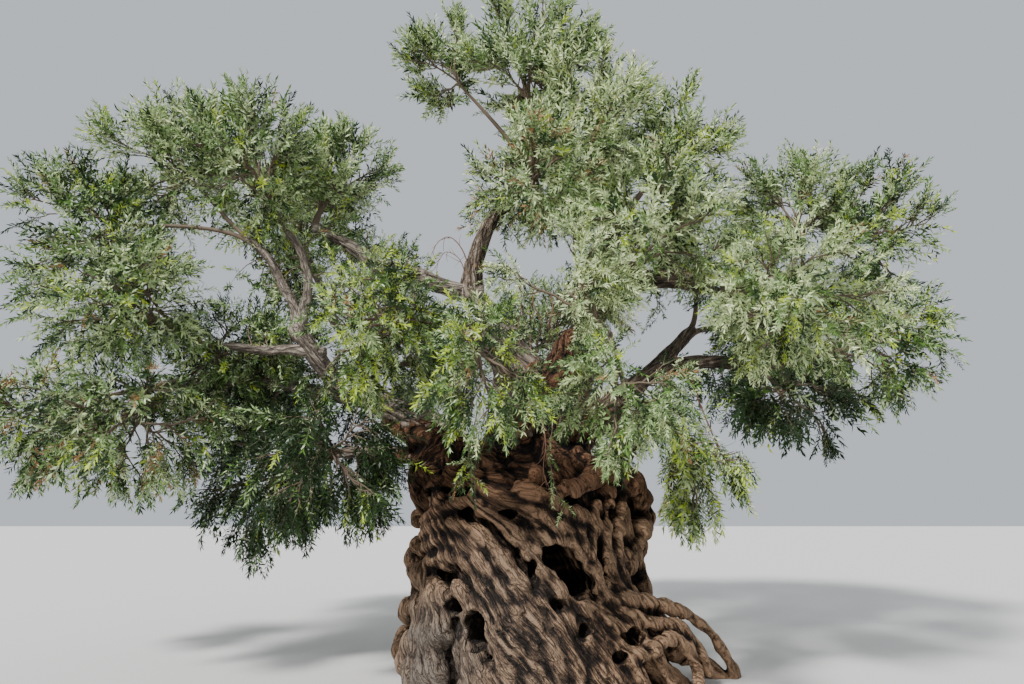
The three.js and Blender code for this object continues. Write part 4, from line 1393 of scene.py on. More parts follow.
MASSES = [Mass(*row) for row in (
    ("crown_far_left", "bough_left_outer", (-4.74, -0.4, 4.4), (0.82, 0.8, 0.85), Tone.MIXED),
    ("crown_left_top", "bough_left_outer", (-4.15, 0.2, 5.35), (1.0, 0.95, 0.95), Tone.SILVERY),
    ("crown_left_inner", "bough_left_inner", (-3.12, -0.25, 5.15), (0.85, 0.85, 0.95), Tone.GREYISH),
    ("crown_left_lobe", "bough_left_high", (-2.35, 0.6, 5.35), (0.72, 0.72, 0.8), Tone.SILVERY),
    ("crown_left_middle", "bough_left_side", (-4.15, -0.7, 3.55), (1.0, 0.95, 0.8), Tone.GREYISH),
    ("crown_left_heart", "bough_left_side", (-3.35, 0.35, 3.05), (1.0, 0.95, 0.76), Tone.MIXED),
    ("crown_left_tip", "bough_left_skirt", (-5.15, -0.2, 2.4), (0.76, 0.76, 0.76), Tone.VEILED),
    ("crown_left_skirt", "bough_left_skirt", (-3.75, -0.9, 2.2), (0.95, 0.85, 0.68), Tone.VEILED),
    ("crown_left_low", "bough_left_under", (-2.9, 0.15, 1.75), (0.8, 0.8, 0.9), Tone.SHADED),
    ("crown_left_bright", "bough_front_left", (-1.58, -1.6, 3.05), (0.86, 0.78, 0.78), Tone.BRIGHT),
    ("crown_left_dark", "bough_left_under", (-1.95, -0.9, 2.0), (0.95, 0.85, 0.76), Tone.SHADED),
    ("crown_front_left", "bough_front_left", (-0.48, -2.15, 2.56), (0.56, 0.56, 0.76), Tone.BRIGHT),
    ("crown_front_top", "bough_front_right", (0.2, -1.25, 3.5), (0.8, 0.74, 0.62), Tone.BLEACHED),
    ("crown_front_right", "bough_front_right", (0.64, -1.95, 2.35), (0.68, 0.66, 0.56), Tone.GREYISH),
    ("crown_right_weeping", "bough_right_low", (1.45, -0.8, 1.85), (0.56, 0.56, 0.74), Tone.WEEPING),
    ("crown_top_arm", "bough_top", (-1.04, 0.1, 6.58), (0.66, 0.62, 0.62), Tone.SILVERY),
    ("crown_top", "bough_top", (-0.12, 0.0, 6.6), (1.08, 0.88, 0.8), Tone.SILVERY),
    ("crown_top_right", "leader_right", (0.58, -0.35, 5.6), (0.85, 0.86, 0.88), Tone.BLEACHED),
    ("crown_top_far", "leader_right", (1.72, 0.3, 5.65), (0.64, 0.7, 0.85), Tone.SUNLIT),
    ("crown_upper", "bough_top", (0.03, -0.75, 4.85), (0.9, 0.8, 0.75), Tone.BROWNED),
    ("crown_upper_right", "bough_right_front", (1.05, -1.0, 4.25), (0.9, 0.82, 0.78), Tone.SUNLIT),
    ("crown_right_top", "bough_right_far", (3.1, 0.5, 5.0), (0.9, 0.86, 0.78), Tone.SILVERY),
    ("crown_right_far", "bough_right_far", (3.88, 0.1, 4.55), (0.68, 0.74, 0.9), Tone.MIXED),
    ("crown_right_bright", "bough_right_high", (2.15, -1.6, 3.25), (0.88, 0.8, 0.74), Tone.SUNLIT),
    ("crown_right_edge", "bough_right_arch", (3.5, -0.35, 3.15), (0.76, 0.76, 0.76), Tone.MIXED),
    ("crown_right_low", "bough_right_arch", (2.3, -0.9, 2.5), (0.78, 0.72, 0.52), Tone.SHADED),
    ("crown_right_heart", "bough_right_far", (2.7, 0.6, 3.5), (0.85, 0.8, 0.72), Tone.MIXED),
    ("crown_back_left", "bough_back_left", (-3.9, 2.0, 2.95), (1.1, 1.0, 0.8), Tone.MIXED),
    ("crown_back_left_top", "bough_back_left_high", (-3.35, 1.95, 5.55), (1.0, 0.9, 0.85), Tone.SILVERY),
    ("crown_back_heart", "bough_back_left", (-1.6, 2.8, 3.5), (1.1, 1.0, 0.95), Tone.MIXED),
    ("crown_back", "bough_back", (0.25, 3.15, 4.0), (1.1, 1.0, 1.0), Tone.GREYISH),
    ("crown_back_low", "bough_back", (0.9, 2.85, 2.5), (0.9, 0.85, 0.68), Tone.MIXED),
    ("crown_back_top", "leader_right", (0.5, 1.75, 5.85), (1.05, 0.9, 0.9), Tone.SILVERY),
    ("crown_back_right", "bough_back_right", (3.55, 2.25, 3.85), (1.0, 0.95, 0.8), Tone.GREYISH),
    ("crown_back_right_top", "bough_back_right", (2.35, 2.2, 5.0), (0.95, 0.85, 0.78), Tone.SILVERY),
)]
MASS_NAMES = [mass.name for mass in MASSES]
MASS_CENTRES = np.array([mass.centre for mass in MASSES])
MASS_RADII = np.array([mass.radii for mass in MASSES])
MASS_SIZES = MASS_RADII.mean(axis=1)


@dataclass(frozen=True)
class Sprig:
    """A twig that hangs clear of the leaves through five places, bare and dead unless it bears shoots."""

    mass: str
    places: tuple[Place, ...]
    thick: float = 0.006
    shoots: int = 0


SPRIGS = (
    Sprig("crown_right_low", (
        (1.36, -0.42, 3.02), (1.47, -0.5, 2.83), (1.57, -0.52, 2.49), (1.77, -0.54, 1.98),
        (2.01, -0.56, 1.73),
    ), thick=0.012),
    Sprig("crown_right_low", (
        (1.57, -0.52, 2.49), (1.61, -0.58, 2.32), (1.66, -0.6, 2.18), (1.69, -0.6, 2.03), (1.74, -0.62, 1.85),
    )),
    Sprig("crown_upper", (
        (-0.19, -1.0, 3.58), (-0.18, -1.0, 3.39), (-0.22, -1.02, 3.15), (-0.19, -1.04, 2.94),
        (-0.24, -1.0, 2.76),
    )),
    Sprig("crown_upper", (
        (-0.06, -1.05, 3.57), (-0.08, -1.05, 3.42), (0.0, -1.08, 3.19), (-0.05, -1.06, 3.0),
        (-0.02, -1.05, 2.8),
    )),
    Sprig("crown_upper", (
        (0.09, -1.0, 3.52), (0.11, -1.0, 3.34), (0.07, -1.03, 3.15), (0.13, -1.0, 2.96), (0.1, -1.0, 2.79),
    )),
    Sprig("crown_left_inner", (
        (-0.72, -0.05, 4.02), (-0.81, -0.1, 4.25), (-0.94, -0.12, 4.38), (-1.07, -0.1, 4.33),
        (-1.15, -0.1, 4.17),
    ), thick=0.008),
    Sprig("crown_left_inner", (
        (-0.75, -0.05, 3.9), (-0.83, -0.1, 4.13), (-0.97, -0.1, 4.22), (-1.04, -0.1, 4.15),
        (-1.11, -0.1, 4.0),
    )),
    Sprig("crown_left_skirt", (
        (-3.9, -0.4, 3.1), (-4.27, -0.5, 3.18), (-4.52, -0.5, 3.2), (-4.71, -0.5, 3.13), (-4.82, -0.5, 3.0),
    ), thick=0.009),
    Sprig("crown_front_right", (
        (-0.03, -1.45, 2.5), (-0.01, -1.45, 2.28), (0.01, -1.46, 2.07), (-0.01, -1.45, 1.88),
        (0.02, -1.45, 1.7),
    ), thick=0.005),
    Sprig("crown_front_right", (
        (0.04, -1.45, 2.5), (0.07, -1.45, 2.23), (0.04, -1.44, 2.04), (0.07, -1.42, 1.8), (0.14, -1.4, 1.54),
    ), thick=0.005, shoots=7),
    Sprig("crown_front_left", (
        (-0.53, -1.7, 2.4), (-0.58, -1.64, 2.2), (-0.62, -1.6, 2.04), (-0.6, -1.6, 1.88), (-0.56, -1.6, 1.74),
    ), shoots=12),
    Sprig("crown_left_dark", (
        (-1.62, 0.1, 2.42), (-1.5, 0.16, 2.44), (-1.38, 0.2, 2.36), (-1.3, 0.22, 2.22), (-1.27, 0.22, 2.05),
    ), thick=0.008, shoots=18),
    Sprig("crown_left_dark", (
        (-1.4, 0.3, 2.62), (-1.28, 0.32, 2.6), (-1.18, 0.33, 2.5), (-1.12, 0.33, 2.36), (-1.1, 0.32, 2.2),
    ), thick=0.008, shoots=18),
    Sprig("crown_left_low", (
        (-1.75, 0.2, 2.2), (-1.66, 0.24, 2.2), (-1.56, 0.26, 2.1), (-1.5, 0.26, 1.95), (-1.48, 0.24, 1.78),
    ), thick=0.008, shoots=18),
    Sprig("crown_front_left", (
        (-0.46, -1.7, 2.4), (-0.47, -1.62, 2.2), (-0.52, -1.6, 2.02), (-0.66, -1.6, 1.9), (-0.72, -1.6, 1.78),
    ), shoots=12),
)


@dataclass(frozen=True)
class Fringe:
    """Leafy twigs that stand along a limb, clear of the masses, coloured as one of them is."""

    limb: str
    mass: str
    count: int
    stretch: Span = (0.15, 1.0)
    reach: Span = (0.3, 0.6)


FRINGES = (
    Fringe("bough_left_high", "crown_left_bright", 34, (0.2, 0.95), (0.3, 0.65)),
    Fringe("bough_left_inner", "crown_left_inner", 14),
    Fringe("bough_left_outer", "crown_left_middle", 16, (0.05, 0.9), (0.3, 0.7)),
    Fringe("bough_left", "crown_left_heart", 10, (0.55, 1.0)),
    Fringe("bough_left_side", "crown_left_heart", 16, (0.1, 0.9), (0.35, 0.7)),
    Fringe("bough_left_skirt", "crown_left_dark", 26, (0.1, 0.8), (0.35, 0.7)),
    Fringe("bough_left_under", "crown_left_dark", 16, (0.35, 1.0)),
    Fringe("bough_top", "crown_upper", 8, (0.5, 1.0), (0.2, 0.4)),
    Fringe("leader_right", "crown_upper", 14, (0.35, 1.0), (0.25, 0.5)),
    Fringe("bough_right_arch", "crown_right_low", 10, (0.6, 1.0)),
    Fringe("bough_right_far", "crown_right_heart", 12, (0.3, 1.0)),
)


class Rows:
    """Arrays that each have one row for each item."""

    def picked(self, rows: Array | list[int]) -> Self:
        """The items with these numbers, or those where a mask holds."""
        return type(self)(*(values[rows] for values in vars(self).values()))

    def and_also(self, others: Self) -> Self:
        """These items and others of their kind."""
        return type(self)(*map(np.concatenate, zip(vars(self).values(), vars(others).values())))


@dataclass
class Twigs(Rows):
    """Many twigs of one order: their lines, their radii, and the number of the mass that each belongs to."""

    lines: Array
    radii: Array
    owners: Array

    STEEP = 0.85

    @classmethod
    def tapering(cls, lines: Array, radii: Span, owners: Array) -> Self:
        """Twigs that all taper from one radius to another."""
        taper = np.linspace(*radii, lines.shape[1])
        return cls(lines, np.broadcast_to(taper, lines.shape[:2]).copy(), owners)

    def at(self, shares: Array) -> tuple[Array, Array]:
        """Places on the twigs and the directions there.

        Args:
            shares: One share of the length for each twig, or several in a second axis.

        Returns:
            The places and the directions, with x, y and z on the last axis.
        """
        spread = shares * (self.lines.shape[1] - 1)
        low = np.minimum(spread.astype(int), self.lines.shape[1] - 2)
        rows = np.arange(len(self.lines)).reshape((-1,) + (1,) * (shares.ndim - 1))
        a, b = self.lines[rows, low], self.lines[rows, low + 1]
        return mix(a, b, (spread - low)[..., None]), unit(b - a)

    def meshed(self, sides: int) -> tuple[Array, list[Array]]:
        """Round twigs that close to a point at their ends.

        Args:
            sides: How many sides a twig has.

        Returns:
            The vertices, and arrays of faces.
        """
        lines, radii = self.lines, self.radii
        count, rings = lines.shape[0], lines.shape[1] - 1
        along = unit(np.gradient(lines, axis=1))
        steep = np.abs(unit(lines[:, -1] - lines[:, 0])[:, 2]) > self.STEEP
        guide = np.where(steep[:, None], np.array([1.0, 0, 0]), UP)[:, None]
        aside = unit(np.cross(guide, along))
        over = np.cross(along, aside)
        turns = TURN * np.arange(sides) / sides
        cosines, sines = np.cos(turns)[:, None], np.sin(turns)[:, None]
        wheel = cosines * aside[:, :rings, None] + sines * over[:, :rings, None]
        shell = lines[:, :rings, None] + wheel * radii[:, :rings, None, None]
        places = np.concatenate([shell.reshape(count, -1, 3), lines[:, -1:]], axis=1)
        size = rings * sides + 1
        ring = np.arange(sides)
        after = (ring + 1) % sides
        band = np.stack([ring, after, after + sides, ring + sides], axis=-1)
        bands = [band + sides * i for i in range(rings - 1)]
        last = sides * (rings - 1)
        tips = np.stack([ring + last, after + last, np.full(sides, size - 1)], axis=-1)
        shift = (np.arange(count) * size)[:, None, None]
        faces = [(band[None] + shift).reshape(-1, band.shape[-1]) for band in (*bands, tips)]
        return places.reshape(-1, 3), faces


@dataclass
class Shoots(Rows):
    """Leafy shoots: where each starts, its heading, its upper face, its length and the number of its mass."""

    starts: Array
    headings: Array
    faces: Array
    lengths: Array
    owners: Array
    outer: Array

    def axes(self) -> Array:
        """Each shoot's own axes, times its length."""
        sides = np.cross(self.faces, self.headings)
        return np.stack([self.headings, sides, self.faces], axis=-1) * self.lengths[:, None, None]


def upper_faces(ways: Array, random: Generator) -> Array:
    """The upper faces of shoots that head these ways, each tilted a little."""
    upward = UP + random.normal(0, 0.45, ways.shape)
    return unit(np.cross(np.cross(ways, upward), ways))


class LeafSide(IntEnum):
    """What a leaf of a shoot shows."""

    SUNNY = 0
    UNDERSIDE = 1
    # A leaf drawn in the deep kind as painted shade among the others.
    INNER = 2


@dataclass(frozen=True)
class LeafyShoot:
    """A pattern for a shoot one unit long, with pairs of narrow leaves and a drooping end."""

    pairs: int
    leaf_length: float
    leaf_width: float
    droop: float = 0.16
    first_leaf: float = 0.1
    leafy_stretch: float = 0.88
    splay: Span = (62, 24)
    roll: float = 0.6
    rim: tuple[Place, ...] = ((0, 0, 0), (0.42, 0.5, 0.03), (1, 0, -0.08), (0.42, -0.5, 0.03))
    underside_share: float = 0.2
    # The share of leaves drawn in painted shade.
    shade_share: float = 0.17

    def stem_line(self, shares: Array) -> Array:
        """Places along the shoot, which heads along x and droops along -z."""
        return np.stack([shares * (1 - 0.1 * shares), 0 * shares, -self.droop * shares**2], axis=-1)

    def leaves(self, seed: int) -> tuple[Array, Array]:
        """The outlines of all the leaves.

        Args:
            seed: Sets how the leaves vary.

        Returns:
            Four corners for each leaf, from its base round by its tip, and the LeafSide of each.
        """
        random = np.random.default_rng(seed)
        count = 2 * self.pairs + 2
        pair, hand = np.divmod(np.arange(count), 2)
        shares = self.first_leaf + self.leafy_stretch * pair / self.pairs
        shares = held(shares + random.normal(0, 0.012, count))
        stem = self.stem_line(shares)
        along = unit(np.stack([1 - 0.2 * shares, 0 * shares, -2 * self.droop * shares], axis=-1))
        turn = math.pi / 2 * pair + math.pi * hand + random.normal(0, 0.35, count)
        side = np.cross(UP, along)
        over = np.cross(along, side)
        out = np.cos(turn)[:, None] * side + np.sin(turn)[:, None] * over
        splay = np.radians(mix(*self.splay, shares**2) + random.normal(0, 9, count))[:, None]
        heading = along * np.cos(splay) + out * np.sin(splay)
        face = along * np.sin(splay) - out * np.cos(splay)
        across = np.cross(face, heading)
        roll = random.normal(0, self.roll, count)[:, None]
        cosine, sine = np.cos(roll), np.sin(roll)
        across, face = across * cosine + face * sine, face * cosine - across * sine
        size = (1 - 0.35 * np.abs(shares - 0.45)) * random.uniform(0.8, 1.15, count)
        length = (self.leaf_length * size)[:, None]
        width = self.leaf_width * size[:, None] * random.uniform(0.85, 1.15, (count, 1))
        ways = (heading * length, across * width, face * length)
        corners = [stem + ways[0] * a + ways[1] * b + ways[2] * c for a, b, c in self.rim]
        drawn = random.random(count)
        # A random share of leaves is drawn in painted shade, and another shows its pale underside.
        inner = np.where(drawn > 1 - self.shade_share, LeafSide.INNER, LeafSide.SUNNY)
        return np.stack(corners, axis=1), np.where(drawn < self.underside_share, LeafSide.UNDERSIDE, inner)


COARSE_SHOOT = LeafyShoot(pairs=7, leaf_length=0.29, leaf_width=0.079)
FINE_SHOOT = LeafyShoot(pairs=12, leaf_length=0.25, leaf_width=0.058)
NEAR_SHOOT = LeafyShoot(pairs=17, leaf_length=0.205, leaf_width=0.046)


@dataclass(frozen=True)
class Crown:
    """All the foliage: the boughs, twigs and shoots that grow on from the limbs' tips."""

    least_height: float = 0.25
    slack: float = 0.08
    box_share: float = 0.015
    clearings: tuple[tuple[Place, Place], ...] = (
        ((-2.2, -1.5, 3.05), (0.42, 0.95, 0.85)),
        ((-0.04, -1.3, 3.14), (0.27, 0.95, 0.46)),
    )
    trunk_radius: float = 1.22
    trunk_height: float = 1.9
    stem_spread: Place = (0.0, 0.42, 0.5)
    stem_share: Place = (0.92, 0.68, 0.6)
    stem_sunk: float = 0.6
    stem_reach: float = 0.9
    stem_tip: float = 0.013
    entries: tuple[float, ...] = (0.3, 0.4, 0.5, 0.6, 0.7, 0.8, 0.9, 0.95)
    boughs_per_area: float = 14.0
    fewest_boughs: int = 5
    most_boughs: int = 22
    bough_reach: Span = (0.6, 0.74)
    bough_thick: Span = (0.030, 0.014)
    bough_tip: float = 0.006
    lobe_depth: float = 0.26
    twigs_per_bough: int = 9
    twig_reach: Span = (0.52, 0.34)
    twig_radii: Span = (0.0075, 0.0032)
    fringe_radii: Span = (0.0085, 0.003)
    shoots_per_twig: int = 7
    shoot_lengths: Span = (0.2, 0.36)
    shortest_shoot: float = 0.16
    habit_heights: tuple[float, ...] = (1.4, 2.8, 4.5, 6.8)
    habits: tuple[float, ...] = (-1.1, -0.35, 0.3, 1.1)
    weeping: float = 1.2
    outer_share: float = 0.56
    near_front: float = -1.1
    near_share: float = 0.3
    back_from: float = 1.7
    back_share: float = 0.66

    def in_space(self, owners: Array, spots: Array, slack: float) -> Array:
        """Whether each place is in its mass's own space.

        Args:
            owners: The number of the mass, for each place.
            spots: The places.
            slack: How far a place may lie outside, in metres.

        Returns:
            True or False for each place.
        """
        inside = (((spots - MASS_CENTRES[owners]) / (MASS_RADII[owners] + slack)) ** 2).sum(axis=-1) <= 1
        low, high = np.array(cad_box)
        spare = self.box_share * (high - low)
        inside &= ((spots > low - spare) & (spots < high + spare)).all(axis=-1)
        for middle, reach in self.clearings:
            inside &= (((spots - np.array(middle)) / reach) ** 2).sum(axis=-1) > 1
        powers = ((spots[:, None] - MASS_CENTRES) ** 2).sum(axis=-1) - MASS_SIZES**2
        gaps = np.linalg.norm(MASS_CENTRES[:, None] - MASS_CENTRES, axis=-1)
        rows = np.arange(len(spots))
        own = powers[rows, owners]
        rivals = powers + 2 * slack * gaps[owners]
        rivals[rows, owners] = np.inf
        return inside & (own < rivals.min(axis=1)) & (spots[:, 2] > self.least_height) & self.off_trunk(spots)

    def off_trunk(self, spots: Array) -> Array:
        """Whether each place is clear of the trunk."""
        centre = np.array(Trunk.column_centre)
        return (np.hypot(*(spots[:, :2] - centre).T) > self.trunk_radius) | (spots[:, 2] > self.trunk_height)

    def stem_aside(self, mass: Mass, limb: Limb) -> Array:
        """Which way a stem leaves the middle of its limb's tip, so that sister stems share the tip evenly.

        Args:
            mass: The stem's mass.
            limb: The limb that the mass hangs on.

        Returns:
            A direction square to the limb.
        """
        across = unit(np.cross(UP, limb.heading))
        over = np.cross(limb.heading, across)

        def angle_of(other: Mass) -> float:
            """The direction of a mass round the limb's heading."""
            way = np.array(other.centre) - limb.tip
            return math.atan2(way @ over, way @ across)

        ordered = sorted((other for other in MASSES if other.on == mass.on), key=angle_of)
        step = TURN / len(ordered)
        base = sum(angle_of(other) - i * step for i, other in enumerate(ordered)) / len(ordered)
        angle = base + ordered.index(mass) * step
        return across * math.cos(angle) + over * math.sin(angle)

    def stems(self) -> Twigs:
        """The stem of each mass, from its limb's tip towards the heart of its space."""
        lines, radii = [], []
        t = np.linspace(0, 1, 13)[:, None]
        for mass, centre in zip(MASSES, MASS_CENTRES):
            limb = LIMB_NAMED[mass.on]
            order = sum(other.on == mass.on for other in MASSES) - 1
            spread = limb.radii[1] * self.stem_spread[order]
            tip = np.array(limb.tip) + self.stem_aside(mass, limb) * spread
            start = tip - limb.heading * limb.radii[1] * self.stem_sunk
            reach = np.linalg.norm(centre - start)
            heart = mix(start, centre, self.stem_reach)
            far = mix(start, heart, 0.68) + UP * reach * 0.05
            lines.append(swept(start, start + limb.heading * reach * 0.2, far, heart, t))
            radii.append(mix(limb.radii[1] * self.stem_share[order], self.stem_tip, t[:, 0] ** 0.85))
        return Twigs(np.array(lines), np.array(radii), np.arange(len(MASSES)))

    def fitted(self, owners: Array, starts: Array, ends: Array, slack: float) -> tuple[Array, Array]:
        """Draws ends in until they lie in their own space.

        Args:
            owners: The number of the mass, for each end.
            starts: The places that the ends are drawn towards.
            ends: The ends.
            slack: How far an end may lie outside, in metres.

        Returns:
            The new ends, and whether each lies in its space.
        """
        done = np.zeros(len(ends), dtype=bool)
        kept = ends.copy()
        for share in (1.0, 0.88, 0.76, 0.64, 0.5):
            tried = mix(starts, ends, share)
            good = ~done & self.in_space(owners, tried, slack)
            kept[good] = tried[good]
            done |= good
        return kept, done

    def curved(self, starts: Array, headings: Array, ends: Array, steps: int, lift: float) -> Array:
        """Lines that leave along a heading and bend round to their ends, lifted in their middle."""
        reach = np.linalg.norm(ends - starts, axis=-1, keepdims=True)
        bend = mix(starts, ends, 0.45) + headings * reach * 0.16 + UP * reach * lift
        return bent(starts[:, None], bend[:, None], ends[:, None], np.linspace(0, 1, steps)[None, :, None])

    def boughs(self, stems: Twigs, random: Generator) -> Twigs:
        """The boughs of every mass, which leave its stem and spread evenly round its heart.

        Args:
            stems: The stems, one for each mass.
            random: The generator.

        Returns:
            The boughs.
        """
        entries = []
        for i in range(len(MASSES)):
            spots, _ = stems.picked([i] * len(self.entries)).at(np.array(self.entries))
            inside = self.in_space(np.full(len(spots), i), spots, 0.0)
            entries.append(self.entries[inside.argmax() if inside.any() else -1])
        counts = np.clip(np.round(self.boughs_per_area * MASS_SIZES**2), self.fewest_boughs, self.most_boughs)
        counts = counts.astype(int)
        owners = np.repeat(np.arange(len(MASSES)), counts)
        order = np.concatenate([np.arange(count) for count in counts])
        shares = mix(np.array(entries)[owners], 0.98, (order * 0.618 + 0.1 * random.random(len(owners))) % 1)
        starts, headings = stems.picked(owners).at(shares)
        height = 1 - 2 * (order + 0.5) / counts[owners]
        turn = order * GOLDEN_ANGLE + (random.random(len(MASSES)) * TURN)[owners]
        flat = np.sqrt(1 - height**2)
        ways = np.stack([flat * np.cos(turn), flat * np.sin(turn), height], axis=-1)
        ways = unit(ways + 0.55 * (random.random(ways.shape) - 0.5))
        lobes = 1 - self.lobe_depth * (0.5 + 0.5 * Ripple(23)(ways * 1.9 + owners[:, None] * 7.3))
        reach = random.uniform(*self.bough_reach, len(owners)) * lobes
        ends = MASS_CENTRES[owners] + ways * MASS_RADII[owners] * reach[:, None]
        ends, good = self.fitted(owners, starts, ends, 0.0)
        lines = self.curved(starts, headings, ends, 8, 0.05)[good]
        lines[:, 1:-1] += random.normal(0, 0.012, lines[:, 1:-1].shape)
        thick = np.interp(shares, [0, 1], [0.62, 0.9]) * np.interp(shares, [0.3, 1.0], self.bough_thick)
        taper = np.linspace(0, 1, 8) ** 0.8
        return Twigs(lines, mix(thick[good, None], self.bough_tip, taper[None]), owners[good])

    def side_ways(
        self, headings: Array, spots: Array, owners: Array, splay: Values, random: Generator
    ) -> Array:
        """Directions beside headings, drawn a little outwards from the heart of the mass."""
        guide = unit(random.normal(size=headings.shape))
        aside = unit(np.cross(headings, guide))
        outward = unit(spots - MASS_CENTRES[owners])
        return unit(headings * 0.75 + aside * splay + outward * 0.55)

    def twigs(self, boughs: Twigs, random: Generator) -> Twigs:
        """Twigs that leave the boughs on either side.

        Args:
            boughs: The boughs.
            random: The generator.

        Returns:
            The twigs.
        """
        each = self.twigs_per_bough
        shares = mix(0.25, 1.0, (np.arange(each) + random.random((len(boughs.owners), each))) / each)
        starts, headings = (found.reshape(-1, 3) for found in boughs.at(shares))
        owners, shares = np.repeat(boughs.owners, each), shares.ravel()
        ways = self.side_ways(headings, starts, owners, 0.95, random)
        ways = unit(ways + UP * np.interp(starts[:, 2], [1.5, 3.2, 6.5], [-0.45, 0.0, 0.35])[:, None])
        lengths = MASS_SIZES[owners] * mix(*self.twig_reach, shares) * random.uniform(0.75, 1.2, len(owners))
        ends, good = self.fitted(owners, starts, starts + ways * lengths[:, None], 0.0)
        lines = self.curved(starts, headings, ends, 5, 0.03)[good]
        lines[:, 1:-1] += random.normal(0, 0.008, lines[:, 1:-1].shape)
        return Twigs.tapering(lines, self.twig_radii, owners[good])

    def fringe_twigs(self, random: Generator) -> Twigs:
        """The leafy twigs that stand along the limbs.

        Args:
            random: The generator.

        Returns:
            The twigs.
        """
        found = []
        for fringe in FRINGES:
            limb, count = LIMB_NAMED[fringe.limb], fringe.count
            shares = mix(*fringe.stretch, (np.arange(count) + random.random(count)) / count)
            places = limb.line(shares)
            headings = unit(limb.line(shares + 0.01) - places)
            owners = np.full(count, MASS_NAMES.index(fringe.mass))
            found.append((places, headings, owners, random.uniform(*fringe.reach, count)))
        starts, headings, owners, lengths = map(np.concatenate, zip(*found))
        aside = unit(np.cross(headings, random.normal(size=headings.shape)))
        aside[:, 1] = np.abs(aside[:, 1]) + 0.5
        ways = unit(headings * 0.35 + aside * 0.9 + UP * random.uniform(-0.5, 0.3, (len(starts), 1)))
        lines = self.curved(starts, headings, starts + ways * lengths[:, None], 5, 0.06)
        return Twigs.tapering(lines, self.fringe_radii, owners)

    def shoots(self, twigs: Twigs, random: Generator, free: bool = False) -> Shoots:
        """The leafy shoots that stand on the twigs: upright at the top of the crown and hanging at its foot.

        Args:
            twigs: The twigs.
            random: The generator.
            free: Whether the shoots may leave the space of their mass.

        Returns:
            The shoots.
        """
        each = self.shoots_per_twig
        steps = np.concatenate([(np.arange(each - 1) + 0.5) / each, [1.0]])
        shares = np.clip(mix(0.2, 1.0, steps) + random.normal(0, 0.05, (len(twigs.owners), each)), 0.1, 1.0)
        shares[:, -1] = 1.0
        starts, headings = (found.reshape(-1, 3) for found in twigs.at(shares))
        owners = np.repeat(twigs.owners, each)
        splay = np.where(shares.ravel() > 0.99, 0.25, 0.85)[:, None]
        ways = self.side_ways(headings, starts, owners, splay, random)
        weeping = np.array([mass.tone is Tone.WEEPING for mass in MASSES])[owners]
        habit = np.interp(starts[:, 2], self.habit_heights, self.habits) - self.weeping * weeping
        ways = unit(ways + UP * (habit + random.normal(0, 0.25, len(habit)))[:, None])
        lengths = random.uniform(*self.shoot_lengths, len(owners)) * np.where(habit > 0.6, 1.15, 1.0)
        ends = starts + ways * lengths[:, None]
        ends, good = (ends, self.off_trunk(ends)) if free else self.fitted(owners, starts, ends, self.slack)
        starts, ends, owners = starts[good], ends[good], owners[good]
        lengths = np.maximum(np.linalg.norm(ends - starts, axis=1), self.shortest_shoot)
        ways = unit(ends - starts)
        faces = upper_faces(ways, random)
        depth = np.sqrt((((starts - MASS_CENTRES[owners]) / MASS_RADII[owners]) ** 2).sum(axis=1))
        forward = MASS_CENTRES[owners, 1]
        least = np.where(forward < self.near_front, self.near_share, self.outer_share)
        outer = depth > np.where(forward > self.back_from, self.back_share, least)
        return Shoots(starts, ways, faces, lengths, owners, outer)


@dataclass(frozen=True)
class HangingSprigs:
    """The twigs that hang clear of the leaves, some with shoots and the dead ones with side twigs."""

    crown: Crown
    steps: int = 4
    side_twigs: int = 9
    side_reach: Span = (0.09, 0.26)
    side_radii: Span = (0.003, 0.0012)
    shoot_length: float = 0.2

    def stalks(self, leafy: bool) -> Twigs:
        """The twigs themselves, either the leafy or the dead ones."""
        chosen = [sprig for sprig in SPRIGS if (sprig.shoots > 0) == leafy]
        lines = np.array([smooth_line(np.array(sprig.places), self.steps) for sprig in chosen])
        radii = np.array([sprig.thick for sprig in chosen])[:, None] * np.linspace(1, 0.3, lines.shape[1])
        return Twigs(lines, radii, np.array([MASS_NAMES.index(sprig.mass) for sprig in chosen]))

    def side(self, stalks: Twigs, random: Generator) -> Twigs:
        """Crooked side twigs of dead stalks.

        Args:
            stalks: The stalks.
            random: The generator.

        Returns:
            The side twigs.
        """
        each = self.side_twigs
        shares = mix(0.15, 0.95, (np.arange(each) + random.random((len(stalks.owners), each))) / each)
        starts, headings = (found.reshape(-1, 3) for found in stalks.at(shares))
        ways = unit(headings * 0.7 + random.normal(0, 0.55, starts.shape) - UP * 0.25)
        ends = starts + ways * random.uniform(*self.side_reach, (len(starts), 1))
        lines = self.crown.curved(starts, headings, ends, 5, -0.1)
        return Twigs.tapering(lines, self.side_radii, np.repeat(stalks.owners, each))

    def shoots(self, stalks: Twigs, random: Generator) -> Shoots:
        """The shoots of leafy stalks, on the outer part of each.

        Args:
            stalks: The stalks.
            random: The generator.

        Returns:
            The shoots.
        """
        counts = [sprig.shoots for sprig in SPRIGS if sprig.shoots]
        shares = np.concatenate([np.linspace(0.35, 1, count) for count in counts])
        stalks = stalks.picked(np.repeat(np.arange(len(counts)), counts))
        starts, headings = stalks.at(shares)
        ways = unit(headings + random.normal(0, 0.45, starts.shape) - UP * 0.2)
        faces = upper_faces(ways, random)
        lengths = random.uniform(0.75, 1.2, len(shares)) * self.shoot_length
        return Shoots(starts, ways, faces, lengths, stalks.owners, np.ones(len(shares), dtype=bool))


def in_sector(owners: Array, sector: Sector) -> Array:
    """Whether each owner is a mass of a sector."""
    return np.array([mass.sector is sector for mass in MASSES])[owners]


def nodes_of(sector: Sector) -> list[str]:
    """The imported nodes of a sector."""
    return [mass.name for mass in MASSES if mass.sector is sector]


